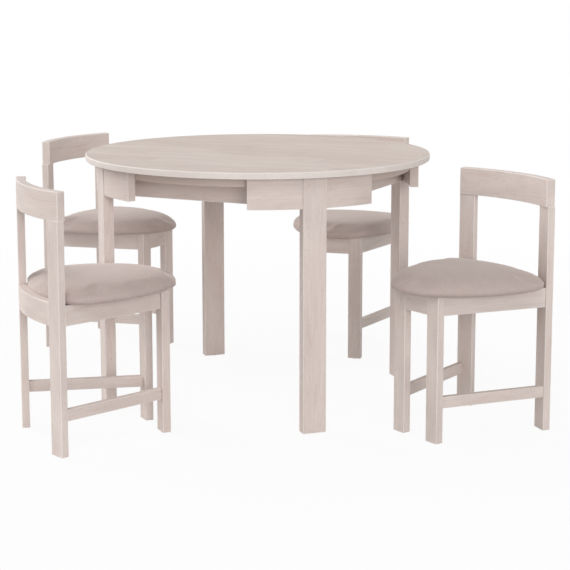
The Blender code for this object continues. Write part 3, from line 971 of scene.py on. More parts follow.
@dataclass(frozen=True)
class Nut(Head):
    """A six-sided nut, as wide as its corners, on a round washer with the end of its bolt showing."""

    width: float = 0.0115
    height: float = 0.005
    washer_width: float = 0.018
    washer_height: float = 0.0013
    bolt_width: float = 0.006
    bolt_height: float = 0.0075

    def values(self) -> dict[str, float]:
        """The tree's size inputs by name."""
        return {
            "Nut Width": self.width,
            "Nut Height": self.height,
            "Washer Width": self.washer_width,
            "Washer Height": self.washer_height,
            "Bolt Width": self.bolt_width,
            "Bolt Height": self.bolt_height,
        }

    def shape(self, tree: bpy.types.NodeTree, given: Any) -> Any:
        """Make one nut that stands on the floor of its own frame.

        Args:
            tree: The tree that gets the nodes.
            given: The group input's sockets.

        Returns:
            The nut's geometry.
        """
        standing = []
        for part, around in (("Nut", 6), ("Washer", 24), ("Bolt", 12)):
            depth = given[f"{part} Height"]
            radius = add(tree, MATH, given[f"{part} Width"], 0.5, operation="MULTIPLY")[0]
            disc = {"Vertices": around, "Radius": radius, "Depth": depth}
            mesh = add(tree, "GeometryNodeMeshCylinder", named=disc)["Mesh"]
            half = add(tree, MATH, depth, 0.5, operation="MULTIPLY")[0]
            move = {"Geometry": mesh, "Translation": add(tree, COMBINE, None, None, half)[0]}
            standing.append(add(tree, "GeometryNodeTransform", named=move)[0])
        return add(tree, "GeometryNodeJoinGeometry", standing)[0]


PAN_HEAD = Stud("pan_head_screws", 0.009, 0.0028, dome=0.45, cross=0.0012)


@dataclass(frozen=True)
class Job:
    """What the shop is told about a piece, apart from its shape.

    The place is where the piece's local frame stands, the slot is the record's slot for its finish, and the
    nodes are the CAD nodes that it stands for.
    """

    name: str
    place: Place
    body: str
    finish: Finish
    slot: Slot | None = None
    nodes: tuple[str, ...] = ()


@dataclass
class Shop:
    """Where pieces are finished: grain and tone are drawn on, and each piece is put on its body.

    The seed fixes which part of a board each piece is cut from, and the cut says how far that part may lie
    from the board's start, middle and heart.
    """

    palette: Palette
    seed: int = 11
    cut_from: tuple[float, float, float] = (0.0, -0.035, -0.012)
    cut_to: tuple[float, float, float] = (30.0, 0.035, 0.012)
    made: int = 0

    def __post_init__(self) -> None:
        """Start the fixed run of random numbers."""
        self.draw = np.random.default_rng(self.seed)

    def board(self, mesh: bpy.types.Mesh, grain: Grain, job: Job) -> bpy.types.Object:
        """Finish one wooden piece.

        Args:
            mesh: Its mesh in local metres, which is copied.
            grain: How its grain runs.
            job: What the piece is.

        Returns:
            The piece.
        """
        mesh = mesh.copy()
        laid = grain.measure(coordinates(mesh))
        laid -= (laid.min(axis=0) + laid.max(axis=0)) / 2
        laid += self.draw.uniform(self.cut_from, self.cut_to)
        write_attribute(mesh, "grain", laid)
        write_attribute(mesh, "tone", np.full(len(laid), self.draw.uniform(0.0, 1.0)))
        return self.fit(mesh, job)

    def heads(self, head: Head, spots: Spots, job: Job) -> bpy.types.Object:
        """Set the same head at every spot and finish them as one piece."""
        return self.fit(head.repeat(job.name, spots, self.palette.get(job.finish)), job)

    def fit(self, mesh: bpy.types.Mesh, job: Job) -> bpy.types.Object:
        """Put a finished mesh in its place as a piece.

        Args:
            mesh: Its mesh in local metres.
            job: What the piece is.

        Returns:
            The piece.
        """
        mesh.transform(job.place.matrix)
        mesh.materials.clear()
        mesh.materials.append(self.palette.get(job.finish))
        piece = object_of(job.name, mesh)
        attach(piece, job.body)
        if job.nodes:
            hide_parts(*job.nodes)
        self.made += 1
        LOG.info("piece %s on %s, %d faces", job.name, job.body, len(mesh.polygons))
        return piece


# Table


@dataclass
class Table:
    """The table: a glued-up round top on a ring of curved shoulders, four legs, aprons and corner blocks."""

    shop: Shop
    top_radius: float = 0.5225
    top_thickness: float = 0.019
    top_height: float = 0.750
    top_ease: float = 0.003
    ring_radius: float = 0.490
    sub_top_thickness: float = 0.0282
    shoulder_thickness: float = 0.0257
    shoulder_height: float = 0.0887
    shoulder_half_deg: float = 22.3
    leg_width: float = 0.069
    leg_depth: float = 0.032
    leg_tongue: float = 0.0157
    leg_proud: float = 0.002
    apron_thickness: float = 0.020
    apron_end_spread: float = 0.0196
    apron_height: float = 0.0582
    block_depth: float = 0.0435
    block_inset: float = 0.0018
    seat_gap: float = 0.0005
    ease: float = 0.0016
    bolt_rise: float = 0.014
    screw_reaches: tuple[float, float] = (0.26, 0.16)
    screw_aside: float = 0.02
    nut: Nut = Nut("hex_nuts_on_washers")
    glide: Stud = Stud("nail_in_glides", 0.024, 0.002, dome=0.35, around=24)
    stave_bearing_deg: float = -26.3
    body: str = "table"

    def __post_init__(self) -> None:
        """Find the table's axis from the CAD tabletop and its turn from the front leg."""
        low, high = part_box("tabletop")
        axis = Vector(((low.x + high.x) / 2, (low.y + high.y) / 2, 0.0))
        self.place = Place(axis, self.bearing_of("table_leg_front", axis))
        self.underside = self.top_height - self.top_thickness
        self.shoulder_top = self.underside - HAIR
        self.shoulder_bottom = self.shoulder_top - self.shoulder_height
        self.inner = self.ring_radius - self.shoulder_thickness
        self.seat = self.inner - self.seat_gap
        self.apron_top = self.shoulder_top - self.sub_top_thickness - HAIR
        self.block_front = math.sqrt(self.seat**2 - self.apron_end_spread**2)

    @staticmethod
    def bearing_of(node: str, axis: Vector) -> float:
        """Find the direction in which a CAD node lies.

        Args:
            node: The node's name.
            axis: The table's axis on the floor.

        Returns:
            The angle from +X to the middle of the node.
        """
        low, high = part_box(node)
        reach = (low + high) / 2 - axis
        return math.atan2(reach.y, reach.x)

    def build(self) -> None:
        """Make every piece of the table."""
        self.build_top()
        self.build_legs()
        self.build_aprons()
        self.build_hardware()

    def build_top(self) -> None:
        """The glued-up top and the plywood disc under it."""
        turn = math.radians(self.stave_bearing_deg)
        along = Vector((math.cos(turn), math.sin(turn), 0.0))
        flat = Place(self.place.origin, 0.0)
        grain = StraightGrain(along, UP.cross(along))
        top = raised("tabletop", circle(self.top_radius, 192), self.underside, self.top_height, self.top_ease)
        self.board("tabletop_wood", top, grain, flat, Finish.TOP, Slot.TOP, "tabletop")
        low = self.apron_top + HAIR
        ply = raised("sub_top", circle(self.seat, 128), low, self.shoulder_top, self.ease / 2)
        self.board("sub_top_ply", ply, grain, flat, Finish.PLY, Slot.HIDDEN, "sub_top")

    def build_legs(self) -> None:
        """Four legs, each half-lapped over the curved shoulder behind its top."""
        leg, shoulder = self.leg_mesh(), self.shoulder_mesh()
        upright, bent = StraightGrain(UP, AHEAD), BentGrain(0.0, self.ring_radius)
        for side in LEGS:
            stand = Place(self.place.origin, self.bearing_of(f"table_leg_{side}", self.place.origin))
            for name, mesh, grain in (("table_leg", leg, upright), ("shoulder", shoulder, bent)):
                node = f"{name}_{side}"
                self.board(f"{node}_wood", mesh, grain, stand, Finish.FRAME, Slot.FRAME, node)

    def leg_mesh(self) -> bpy.types.Mesh:
        """A leg along +X, with its tongue above.

        Returns:
            The mesh.
        """
        outer = self.ring_radius + self.leg_proud
        back, lap = outer - self.leg_depth, outer - self.leg_tongue
        below = self.shoulder_bottom - HAIR
        profile = [(back, self.glide.height), (outer, self.glide.height), (outer, self.shoulder_top)]
        profile += [(lap, self.shoulder_top), (lap, below), (back, below)]
        shape = bmesh.new()
        sides = []
        for y in (-self.leg_width / 2, self.leg_width / 2):
            sides.append([shape.verts.new((x, y, z)) for x, z in profile])
            shape.faces.new(sides[-1])
        for i in range(len(profile)):
            j = (i + 1) % len(profile)
            shape.faces.new((sides[0][i], sides[0][j], sides[1][j], sides[1][i]))
        return rounded("table_leg", shape, self.ease)

    def shoulder_mesh(self) -> bpy.types.Mesh:
        """The curved shoulder over a leg along +X, notched for its tongue.

        Returns:
            The mesh.
        """
        notch = self.leg_width / 2 + HAIR
        floor = self.ring_radius + self.leg_proud - self.leg_tongue - HAIR
        half = math.radians(self.shoulder_half_deg)
        edge = math.asin(notch / self.ring_radius)
        outline = arc(self.ring_radius, -half, -edge, 16)
        outline += [Vector((floor, -notch)), Vector((floor, notch))]
        outline += arc(self.ring_radius, edge, half, 16)
        outline += arc(self.inner, half, -half, 36)
        return raised("shoulder", outline, self.shoulder_bottom, self.shoulder_top, self.ease * 0.75)

    def build_aprons(self) -> None:
        """Four straight aprons between the legs and the blocks that join them."""
        turn = math.radians(45.0)
        inner = self.block_front * math.cos(turn) + self.apron_end_spread * math.sin(turn)
        outer = inner + self.apron_thickness
        low, high = self.apron_top - self.apron_height, self.apron_top
        ends = [math.acos(outer / self.seat), math.acos(inner / self.seat)]
        plan = [polar(self.seat, end) for end in (-ends[1], -ends[0], ends[0], ends[1])]
        board = raised("table_apron", plan, low, high, self.ease)
        front = self.block_front - HAIR
        back = front - self.block_depth
        reaches = [
            self.apron_end_spread + (self.block_front - x) / math.tan(turn) - HAIR for x in (back, front)
        ]
        plan = [Vector((back, -reaches[0])), Vector((front, -reaches[1])), Vector((front, reaches[1]))]
        plan.append(Vector((back, reaches[0])))
        block = raised("corner_block", plan, low + self.block_inset, high - self.block_inset, self.ease)
        along = StraightGrain(AHEAD, UP)
        for index, side in enumerate(LEGS):
            stand = self.place.turned(index * math.pi / 2)
            between = stand.turned(turn)
            node = "apron_half_front" if index < 2 else "apron_half_back"
            self.board(f"table_apron_{index}_wood", board, along, between, Finish.FRAME, Slot.FRAME, node)
            self.board(f"corner_block_{side}_wood", block, along, stand, Finish.BLOCK, Slot.FRAME, node)

    def build_hardware(self) -> None:
        """Nuts on the leg bolts, screws that hold the top, and glides under the feet."""
        back = self.block_front - HAIR - self.block_depth
        middle = self.apron_top - self.apron_height / 2
        foot = self.ring_radius + self.leg_proud - self.leg_depth / 2
        nuts, screws, glides = [], [], []
        for index in range(len(LEGS)):
            turn = Matrix.Rotation(index * math.pi / 2, 3, "Z")
            for rise in (-self.bolt_rise, self.bolt_rise):
                nuts.append((turn @ Vector((back, 0.0, middle + rise)), turn @ -RIGHT))
            glides.append((turn @ Vector((foot, 0.0, self.glide.height)), -UP))
            for reach in self.screw_reaches:
                screws.append((turn @ Vector((reach, self.screw_aside, self.apron_top + HAIR)), -UP))
        self.shop.heads(self.nut, nuts, Job("table_leg_nuts", self.place, self.body, Finish.ZINC))
        self.shop.heads(PAN_HEAD, screws, Job("table_top_screws", self.place, self.body, Finish.ZINC))
        self.shop.heads(self.glide, glides, Job("table_glides", self.place, self.body, Finish.NYLON))

    def board(
        self,
        name: str,
        mesh: bpy.types.Mesh,
        grain: Grain,
        place: Place,
        finish: Finish,
        slot: Slot,
        node: str,
    ) -> None:
        """Finish one wooden piece of the table.

        Args:
            name: The piece's name.
            mesh: Its mesh in local metres.
            grain: How its grain runs.
            place: Where its local frame stands.
            finish: Its finish.
            slot: The record's slot for that finish.
            node: The CAD node that it stands for.
        """
        self.shop.board(mesh, grain, Job(name, place, self.body, finish, slot, (node,)))


# Seat pad


# How the pad's cover behaves while it is blown up.
CLOTH = {
    "quality": 6,
    "mass": 0.2,
    "tension_stiffness": 20,
    "compression_stiffness": 20,
    "bending_stiffness": 2,
    "use_pressure": True,
    "uniform_pressure_force": 4,
    "vertex_group_mass": "held",
}


@dataclass
class SeatPad:
    """The padded seat: foam on a board under one piece of suede cloth, drawn tight over its edge.

    The outline's shares are points along its right half, as shares of half its width and of its length. The
    tuck is how far the underside is drawn in, and its rate how soon it reaches that from the middle out. The
    held share is the part of a voxel, from the underside up, in which the cloth is held.
    """

    arc_centre_y: float
    splay: float
    post_spread: float
    post_depth: float
    rail_top: float
    width: float = 0.400
    height: float = 0.055
    overhang: float = 0.0118
    standoff: float = 0.0589
    edge_height: float = 0.0115
    tuck: float = 0.014
    tuck_rate: float = 1.6
    clearance: float = 0.003
    tuck_clearance: float = 0.003
    crown_power: float = 2.5
    steps: int = 120
    rings: int = 16
    edge_rings: int = 6
    base_share: float = 0.5
    voxel: float = 0.005
    shrink: float = 0.004
    held_share: float = 0.6
    frames: int = 20
    swell: float = 0.006
    smoothing: int = 12
    outline_shares: tuple[tuple[float, float], ...] = (
        (0.00, 0.000),
        (0.26, 0.0075),
        (0.51, 0.0285),
        (0.78, 0.068),
        (0.955, 0.148),
        (1.00, 0.267),
        (0.995, 0.396),
        (0.93, 0.534),
        (0.80, 0.693),
        (0.64, 0.822),
        (0.46, 0.916),
        (0.24, 0.978),
        (0.00, 1.000),
    )

    def __post_init__(self) -> None:
        """Find the height of the pad's underside."""
        self.bottom = self.rail_top + HAIR

    def limits(self) -> list[tuple[Vector, float]]:
        """Lines that the pad's edge stays behind: the posts, and the sides of its quarter of the ring.

        Returns:
            Pairs of a plan direction and how far the edge may go along it.
        """
        found = []
        for side in (1, -1):
            into_post = Vector((side * math.sin(self.splay), -math.cos(self.splay)))
            post = Vector((side * self.post_spread, 0.0))
            found.append((into_post, into_post.dot(post) - self.post_depth / 2 - self.clearance))
            diagonal = Vector((side, 1.0)).normalized()
            centre = Vector((0.0, self.arc_centre_y + self.tuck_clearance))
            found.append((diagonal, diagonal.dot(centre) - self.clearance))
        return found

    def outline(self) -> tuple[Vector, list[Vector]]:
        """The pad's widest edge in plan.

        Returns:
            Its middle, and its points anticlockwise from the middle of its back.
        """
        rear = -self.overhang
        length = self.arc_centre_y - self.standoff - rear
        half = [Vector((x * self.width / 2, rear + y * length)) for x, y in self.outline_shares]
        points = half + mirrored(half[1:-1])
        middle = Vector((0.0, rear + length / 2))
        edge = []
        for step in range(self.steps):
            reach = self.smooth_point(points, step * len(points) / self.steps) - middle
            scale = 1.0
            for normal, limit in self.limits():
                if reach.dot(normal) > 0:
                    scale = min(scale, (limit - middle.dot(normal)) / reach.dot(normal))
            edge.append(middle + reach * scale)
        return middle, edge

    @staticmethod
    def smooth_point(points: Sequence[Vector], place: float) -> Vector:
        """Find a point on the smooth closed curve through some points.

        Args:
            points: The points.
            place: Where on the curve, counted in points.

        Returns:
            The point there.
        """
        index = math.floor(place)
        t = place - index
        before, start, end, after = (points[(index + step) % len(points)] for step in (-1, 0, 1, 2))
        first = (end - before) * t
        second = (2 * before - 5 * start + 4 * end - after) * t**2
        return 0.5 * (2 * start + first + second + (3 * start - before - 3 * end + after) * t**3)

    def profile(self) -> list[tuple[float, float, float]]:
        """The pad's rings from its underside to its crown.

        Returns:
            For each ring its share of the outline, how far it is drawn in, and its height.
        """
        edge = self.bottom + self.edge_height
        rise = self.height - self.edge_height
        found = [(self.base_share, self.tuck, self.bottom), (1.0, self.tuck, self.bottom)]
        for step in range(1, self.edge_rings):
            turn = math.pi / 2 * step / self.edge_rings
            found.append((1.0, self.tuck * (1 - math.sin(turn)), edge - self.edge_height * math.cos(turn)))
        for step in range(self.rings + 1):
            turn = math.pi / 2 * step / (self.rings + 1)
            share = math.cos(turn) ** (2 / self.crown_power)
            found.append((share, 0.0, edge + rise * math.sin(turn) ** (2 / self.crown_power)))
        return found

    def shell(self, shrink: float) -> bpy.types.Mesh:
        """The pad's closed shape.

        Args:
            shrink: How much smaller than the finished pad it is.

        Returns:
            The mesh in chair metres.
        """
        shape = bmesh.new()
        middle, edge = self.outline()
        squeeze = (self.height - shrink) / self.height
        loops = []
        for share, tuck, height in self.profile():
            loop = []
            for point in edge:
                reach = point - middle
                drawn_in = reach.normalized() * (tuck + shrink) * min(1.0, share * self.tuck_rate)
                spot = middle + reach * share - drawn_in
                loop.append(shape.verts.new((spot.x, spot.y, self.bottom + (height - self.bottom) * squeeze)))
            loops.append(loop)
        for lower, upper in zip(loops, loops[1:]):
            for i in range(self.steps):
                j = (i + 1) % self.steps
                shape.faces.new((lower[i], lower[j], upper[j], upper[i]))
        for loop, height in ((loops[0], self.bottom), (loops[-1], self.bottom + self.height * squeeze)):
            pole = shape.verts.new((middle.x, middle.y, height))
            for i in range(self.steps):
                shape.faces.new((loop[i], loop[(i + 1) % self.steps], pole))
        bmesh.ops.recalc_face_normals(shape, faces=shape.faces)
        mesh = bpy.data.meshes.new("pad_shell")
        shape.to_mesh(mesh)
        shape.free()
        mesh.shade_smooth()
        return mesh

    def build(self) -> bpy.types.Mesh:
        """Returns:
            The smooth mesh in chair metres, with its cloth attribute.
        """
        mesh = self.inflate(self.shell(self.shrink))
        write_attribute(mesh, "cloth", coordinates(mesh) - (0.0, 0.0, self.bottom))
        return mesh

    def inflate(self, shell: bpy.types.Mesh) -> bpy.types.Mesh:
        """Blow the shell up as cloth held at its underside.

        Args:
            shell: The slightly smaller closed shape.

        Returns:
            The swollen and smoothed mesh.
        """
        obj = object_of("pad_shell", shell)
        remesh = obj.modifiers.new("even_faces", "REMESH")
        remesh.mode = "VOXEL"
        remesh.voxel_size = self.voxel
        obj = object_of("pad_cloth", evaluated(obj))
        start = coordinates(obj.data)
        held = np.nonzero(start[:, 2] < start[:, 2].min() + self.voxel * self.held_share)[0]
        obj.vertex_groups.new(name="held").add(held.tolist(), 1.0, "REPLACE")
        cloth = obj.modifiers.new("cloth", "CLOTH")
        for name, value in CLOTH.items():
            setattr(cloth.settings, name, value)
        cloth.settings.effector_weights.gravity = 0
        for step in range(1, self.frames + 1):
            bpy.context.scene.frame_set(step)
        mesh = evaluated(obj)
        moved = coordinates(mesh) - start
        far = np.linalg.norm(moved, axis=1, keepdims=True)
        moved *= np.minimum(1.0, self.swell / np.maximum(far, 1e-9))
        LOG.info("pad cloth moved %.1f mm, kept to %.1f mm", float(far.max()) * 1000, self.swell * 1000)
        place_points(mesh, start + moved)
        bpy.context.scene.frame_set(1)
        obj = object_of("pad_smooth", mesh)
        taut = obj.modifiers.new("taut", "SMOOTH")
        taut.factor = 0.5
        taut.iterations = self.smoothing
        finer = obj.modifiers.new("finer", "SUBSURF")
        finer.levels = finer.render_levels = 1
        mesh = evaluated(obj)
        place_points(mesh, self.trim(coordinates(mesh)))
        mesh.shade_smooth()
        return mesh

    def trim(self, points: np.ndarray) -> np.ndarray:
        """Bring the swollen pad to its measured size, flat underneath and clear of the posts.

        Args:
            points: The pad's points in chair metres.

        Returns:
            The same points, moved.
        """
        plan = np.array([list(point) for point in self.outline()[1]])
        low, high = points.min(axis=0), points.max(axis=0)
        for axis in (0, 1):
            start, end = plan[:, axis].min(), plan[:, axis].max()
            points[:, axis] = start + (points[:, axis] - low[axis]) * (end - start) / (high[axis] - low[axis])
        points[:, 2] = self.bottom + (points[:, 2] - low[2]) * self.height / (high[2] - low[2])
        for normal, limit in self.limits():
            way = np.array(list(normal))
            over = points[:, :2] @ way - limit
            points[:, :2] -= np.maximum(over, 0.0)[:, None] * way
        return points


# Chair


@dataclass
class Chair:
    """One chair: splayed posts and front legs, mitred rails, a curved crest rail and a padded seat.

    The seat board's notch beside a post is given by its depth and by where it starts and ends along the
    side, and its nose by how far two corners lie behind the front leg's back. The corner blocks are given by
    places along the side apron, from the post or the front leg, and by how far they reach inwards.
    """

    shop: Shop
    ring_radius: float = 0.490
    post_spread: float = 0.156
    post_width: float = 0.049
    post_depth: float = 0.022
    front_leg_spread: float = 0.067
    front_leg_width: float = 0.044
    front_leg_depth: float = 0.024
    front_leg_standoff: float = 0.1049
    crest_thickness: float = 0.026
    crest_half_deg: float = 21.8
    crest_bottom: float = 0.6415
    crest_height: float = 0.079
    crest_ease: float = 0.0020
    rail_top: float = 0.4145
    side_height: float = 0.0555
    side_thickness: float = 0.018
    side_reveal: float = 0.0023
    mitre_reveal: float = 0.0057
    front_thickness: float = 0.018
    front_reveal: float = 0.001
    rear_top: float = 0.4215
    rear_height: float = 0.0645
    rear_thickness: float = 0.026
    stretcher_bottom: float = 0.099
    stretcher_height: float = 0.032
    board_thickness: float = 0.003
    board_gap: float = 0.002
    board_ease: float = 0.0004
    board_notch: tuple[float, float, float] = (0.030, 0.045, 0.060)
    board_nose: tuple[float, float] = (0.012, 0.004)
    board_half_deg: float = 12.0
    block_drop: float = 0.036
    rear_block_along: tuple[float, float, float] = (0.014, 0.056, 0.030)
    rear_block_inwards: tuple[float, float] = (0.030, 0.018)
    front_block_along: tuple[float, float] = (0.040, 0.012)
    front_block_inwards: tuple[float, float] = (0.030, 0.034)
    ease: float = 0.0016
    glide: Stud = Stud("nail_in_glides", 0.018, 0.002, dome=0.35, around=24)
    pad_fill: float = 0.8

    def __post_init__(self) -> None:
        """Work out where the pieces meet, as the CAD source does."""
        middle_radius = self.ring_radius - self.post_depth / 2
        self.arc_centre_y = math.sqrt(middle_radius**2 - self.post_spread**2)
        self.leg_front = self.arc_centre_y - self.front_leg_standoff
        self.leg_back = self.leg_front - self.front_leg_depth
        self.side_offset = self.post_width / 2 - self.side_reveal
        mitre = self.front_leg_spread + self.front_leg_width / 2 - self.mitre_reveal
        span = math.hypot(self.post_spread - mitre, self.leg_back)
        self.splay = math.atan2(self.post_spread - mitre, self.leg_back) + math.asin(self.side_offset / span)
        self.pad = SeatPad(self.arc_centre_y, self.splay, self.post_spread, self.post_depth, self.rail_top)
        self.meshes = self.frame_meshes()

    def along_side(self, across: float, forward: float) -> Vector:
        """A plan point given across and along the right side's rails, from the post's centre."""
        sine, cosine = math.sin(self.splay), math.cos(self.splay)
        return Vector((self.post_spread + across * cosine - forward * sine, across * sine + forward * cosine))

    def forward_to(self, y: float, across: float) -> float:
        """How far forward along the side's rails a plan point with this y lies."""
        return (y - across * math.sin(self.splay)) / math.cos(self.splay)

    def side_outline(self) -> list[Vector]:
        """The plan of the right side's rails, square at the post and mitred at the front leg.

        Returns:
            The outline.
        """
        across = (self.side_offset - self.side_thickness, self.side_offset)
        start = self.post_depth / 2 + HAIR
        face = self.leg_back - HAIR
        ends = [self.along_side(side, self.forward_to(face, side)) for side in reversed(across)]
        return [self.along_side(side, start) for side in across] + ends

    def end_angle(self, radius: float) -> float:
        """Find where an arc about the ring's centre meets the inner side of the right post.

        Args:
            radius: The arc's radius.

        Returns:
            The half-angle there.
        """
        face = -self.post_width / 2 - HAIR
        across = self.arc_centre_y * math.sin(self.splay) - self.post_spread * math.cos(self.splay)
        return math.asin((face - across) / radius) + self.splay

    def curved(
        self, name: str, thickness: float, halves: Sequence[float], low: float, high: float, ease: float
    ) -> bpy.types.Mesh:
        """A rail bent to the ring's circle, behind the seat.

        Args:
            name: The mesh's name.
            thickness: How far it reaches in from the circle.
            halves: The half-angles of its outer and inner faces.
            low: The height of its underside.
            high: The height of its top.
            ease: The radius of its edges.

        Returns:
            The mesh.
        """
        back, inner = -math.pi / 2, self.ring_radius - thickness
        outline = arc(self.ring_radius, back - halves[0], back + halves[0], 40, self.arc_centre_y)
        outline += arc(inner, back + halves[1], back - halves[1], 40, self.arc_centre_y)
        return raised(name, outline, low, high, ease)

    def frame_meshes(self) -> dict[str, bpy.types.Mesh]:
        """The chair's wooden meshes by name, those of the sides on the right.

        The posts' rounded ends lie inside the crest rail, as their tenons do, so that they meet it squarely.

        Returns:
            The meshes.
        """
        top, low = self.rail_top, self.glide.height
        halves = (self.post_width / 2, self.post_depth / 2)
        corners = ((-1, -1), (1, -1), (1, 1), (-1, 1))
        post = [self.along_side(halves[0] * x, halves[1] * y) for x, y in corners]
        left, right = (self.front_leg_spread + side * self.front_leg_width / 2 for side in (-1, 1))
        leg = [(left, self.leg_back), (right, self.leg_back), (right, self.leg_front), (left, self.leg_front)]
        front = self.leg_front - self.front_reveal
        back, face = front - self.front_thickness, left - HAIR
        apron = [(-face, back), (face, back), (face, front), (-face, front)]
        side = self.side_outline()
        half = math.radians(self.crest_half_deg)
        radii = (self.ring_radius, self.ring_radius - self.rear_thickness)
        ends = [self.end_angle(radius) for radius in radii]
        crest = (self.crest_thickness, (half, half), self.crest_bottom, self.crest_bottom + self.crest_height)
        rear = (self.rear_thickness, ends, self.rear_top - self.rear_height, self.rear_top)
        step = self.stretcher_bottom
        return {
            "crest_rail": self.curved("crest", *crest, self.crest_ease),
            "rear_apron": self.curved("rear_apron", *rear, self.ease),
            "front_apron": raised("front_apron", apron, top - self.side_height, top, self.ease),
            "rear_post": raised("post", post, low, self.crest_bottom + self.ease, self.ease),
            "front_leg": raised("leg", leg, low, top, self.ease),
            "side_apron": raised("side_apron", side, top - self.side_height, top, self.ease),
            "side_stretcher": raised("stretcher", side, step, step + self.stretcher_height, self.ease),
        }

    def seat_board_mesh(self) -> bpy.types.Mesh:
        """The plywood under the pad, let in between the rails and notched beside the posts.

        Returns:
            The mesh.
        """
        inner = self.side_offset - self.side_thickness - self.board_gap
        front = self.leg_front - self.front_reveal - self.front_thickness - self.board_gap
        rear = self.ring_radius - self.rear_thickness - self.board_gap
        narrow = self.front_leg_spread - self.front_leg_width / 2 - self.board_gap
        depth, start, end = self.board_notch
        right = [self.along_side(inner - depth, start), self.along_side(inner, end)]
        right.append(self.along_side(inner, self.forward_to(self.leg_back - self.board_nose[0], inner)))
        right += [Vector((narrow, self.leg_back - self.board_nose[1])), Vector((narrow, front))]
        back, half = -math.pi / 2, math.radians(self.board_half_deg)
        outline = arc(rear, back - half, back + half, 24, self.arc_centre_y) + right + mirrored(right)
        low, high = self.rail_top - self.board_thickness, self.rail_top + HAIR * 2
        return raised("seat_board", outline, low, high, self.board_ease)

    def block_outlines(self) -> dict[str, list[Vector]]:
        """The plans of the right side's two corner blocks, set across the corners inside the frame.

        Returns:
            Each block's outline by its name.
        """
        inner = self.side_offset - self.side_thickness - HAIR
        start, end, turn = self.rear_block_along
        deep, shallow = self.rear_block_inwards
        back = [self.along_side(inner, start), self.along_side(inner, end)]
        back += [self.along_side(inner - deep, turn), self.along_side(inner - shallow, start)]
        face = self.leg_back - HAIR
        reach = self.forward_to(face, inner)
        length, rise = self.front_block_along
        side, nose = self.front_block_inwards
        front = [self.along_side(inner, reach), self.along_side(inner, reach - length)]
        front += [Vector((front[1].x - side, front[1].y + rise)), Vector((front[0].x - nose, face))]
        return {"rear_block": back, "front_block": front}

    def build(self, prefix: str, pad: bpy.types.Mesh) -> None:
        """Make every piece of one chair where its CAD posts stand.

        Args:
            prefix: The chair's name.
            pad: The finished seat pad in chair metres.
        """
        place = self.place_of(prefix)
        bent = BentGrain(self.arc_centre_y, self.ring_radius)
        grains = {"crest_rail": bent, "rear_apron": bent, "front_apron": StraightGrain(RIGHT, UP)}
        for name, grain in grains.items():
            self.wood(prefix, name, self.meshes[name], grain, place)
        for side in Side:
            along = Vector((-side.value * math.sin(self.splay), math.cos(self.splay), 0.0))
            for name in ("rear_post", "front_leg", "side_apron", "side_stretcher"):
                upright = name in ("rear_post", "front_leg")
                grain = StraightGrain(UP, along) if upright else StraightGrain(along, UP)
                self.wood(prefix, f"{name}_{side.word}", sided(self.meshes[name], side), grain, place)
        self.build_under(prefix, place)
        node = f"{prefix}_seat_pad"
        cloth = Job(f"{node}_cloth", place, f"{prefix}_chair", Finish.SUEDE, Slot.PAD, (node,))
        self.shop.fit(pad.copy(), cloth)

    def wood(self, prefix: str, name: str, mesh: bpy.types.Mesh, grain: Grain, place: Place) -> None:
        """Finish one wooden piece of a chair over its CAD node.

        Args:
            prefix: The chair's name.
            name: The piece's name on the chair.
            mesh: Its mesh in chair metres.
            grain: How its grain runs.
            place: Where the chair stands.
        """
        node = f"{prefix}_{name}"
        wood = Job(f"{node}_wood", place, f"{prefix}_chair", Finish.FRAME, Slot.FRAME, (node,))
        self.shop.board(mesh, grain, wood)

    def build_under(self, prefix: str, place: Place) -> None:
        """The pieces under the seat: its board, corner blocks, screws and glides.

        Args:
            prefix: The chair's name.
            place: Where the chair stands.
        """
        body = f"{prefix}_chair"
        board = Job(f"{prefix}_seat_board_ply", place, body, Finish.PLY, Slot.HIDDEN)
        self.shop.board(self.seat_board_mesh(), StraightGrain(AHEAD, RIGHT), board)
        low, high = self.rail_top - self.block_drop, self.rail_top - self.board_thickness - HAIR
        leg = Vector((self.front_leg_spread, self.leg_front - self.front_leg_depth / 2))
        screws, glides = [], []
        for side in Side:
            for name, plan in self.block_outlines().items():
                mesh = sided(raised(name, plan, low, high, self.ease / 2), side)
                block = Job(f"{prefix}_{name}_{side.word}_wood", place, body, Finish.BLOCK, Slot.FRAME)
                self.shop.board(mesh, StraightGrain(RIGHT, UP), block)
                middle = sum(plan, Vector((0.0, 0.0))) / len(plan)
                screws.append((Vector((side.value * middle.x, middle.y, low)), -UP))
            for foot in (self.along_side(0.0, 0.0), leg):
                glides.append((Vector((side.value * foot.x, foot.y, self.glide.height)), -UP))
        self.shop.heads(PAN_HEAD, screws, Job(f"{prefix}_seat_screws", place, body, Finish.ZINC))
        self.shop.heads(self.glide, glides, Job(f"{prefix}_glides", place, body, Finish.NYLON))

    @staticmethod
    def place_of(prefix: str) -> Place:
        """Where a chair stands: midway between its posts, with X from its left post to its right.

        Args:
            prefix: The chair's name.

        Returns:
            The chair's place.
        """
        left, right = (sum(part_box(f"{prefix}_rear_post_{side}"), Vector()) / 2 for side in ("left", "right"))
        middle = (left + right) / 2
        across = right - left
        return Place(Vector((middle.x, middle.y, 0.0)), math.atan2(across.y, across.x))


def sided(mesh: bpy.types.Mesh, side: Side) -> bpy.types.Mesh:
    """A mesh for this side of the chair, from the one for the right.

    Args:
        mesh: The right side's mesh.
        side: The side that is wanted.

    Returns:
        A copy, mirrored for the left, with its faces outwards.
    """
    copy = mesh.copy()
    if side is Side.LEFT:
        copy.transform(Matrix.Scale(-1.0, 4, RIGHT))
        copy.flip_normals()
    return copy


# Studio


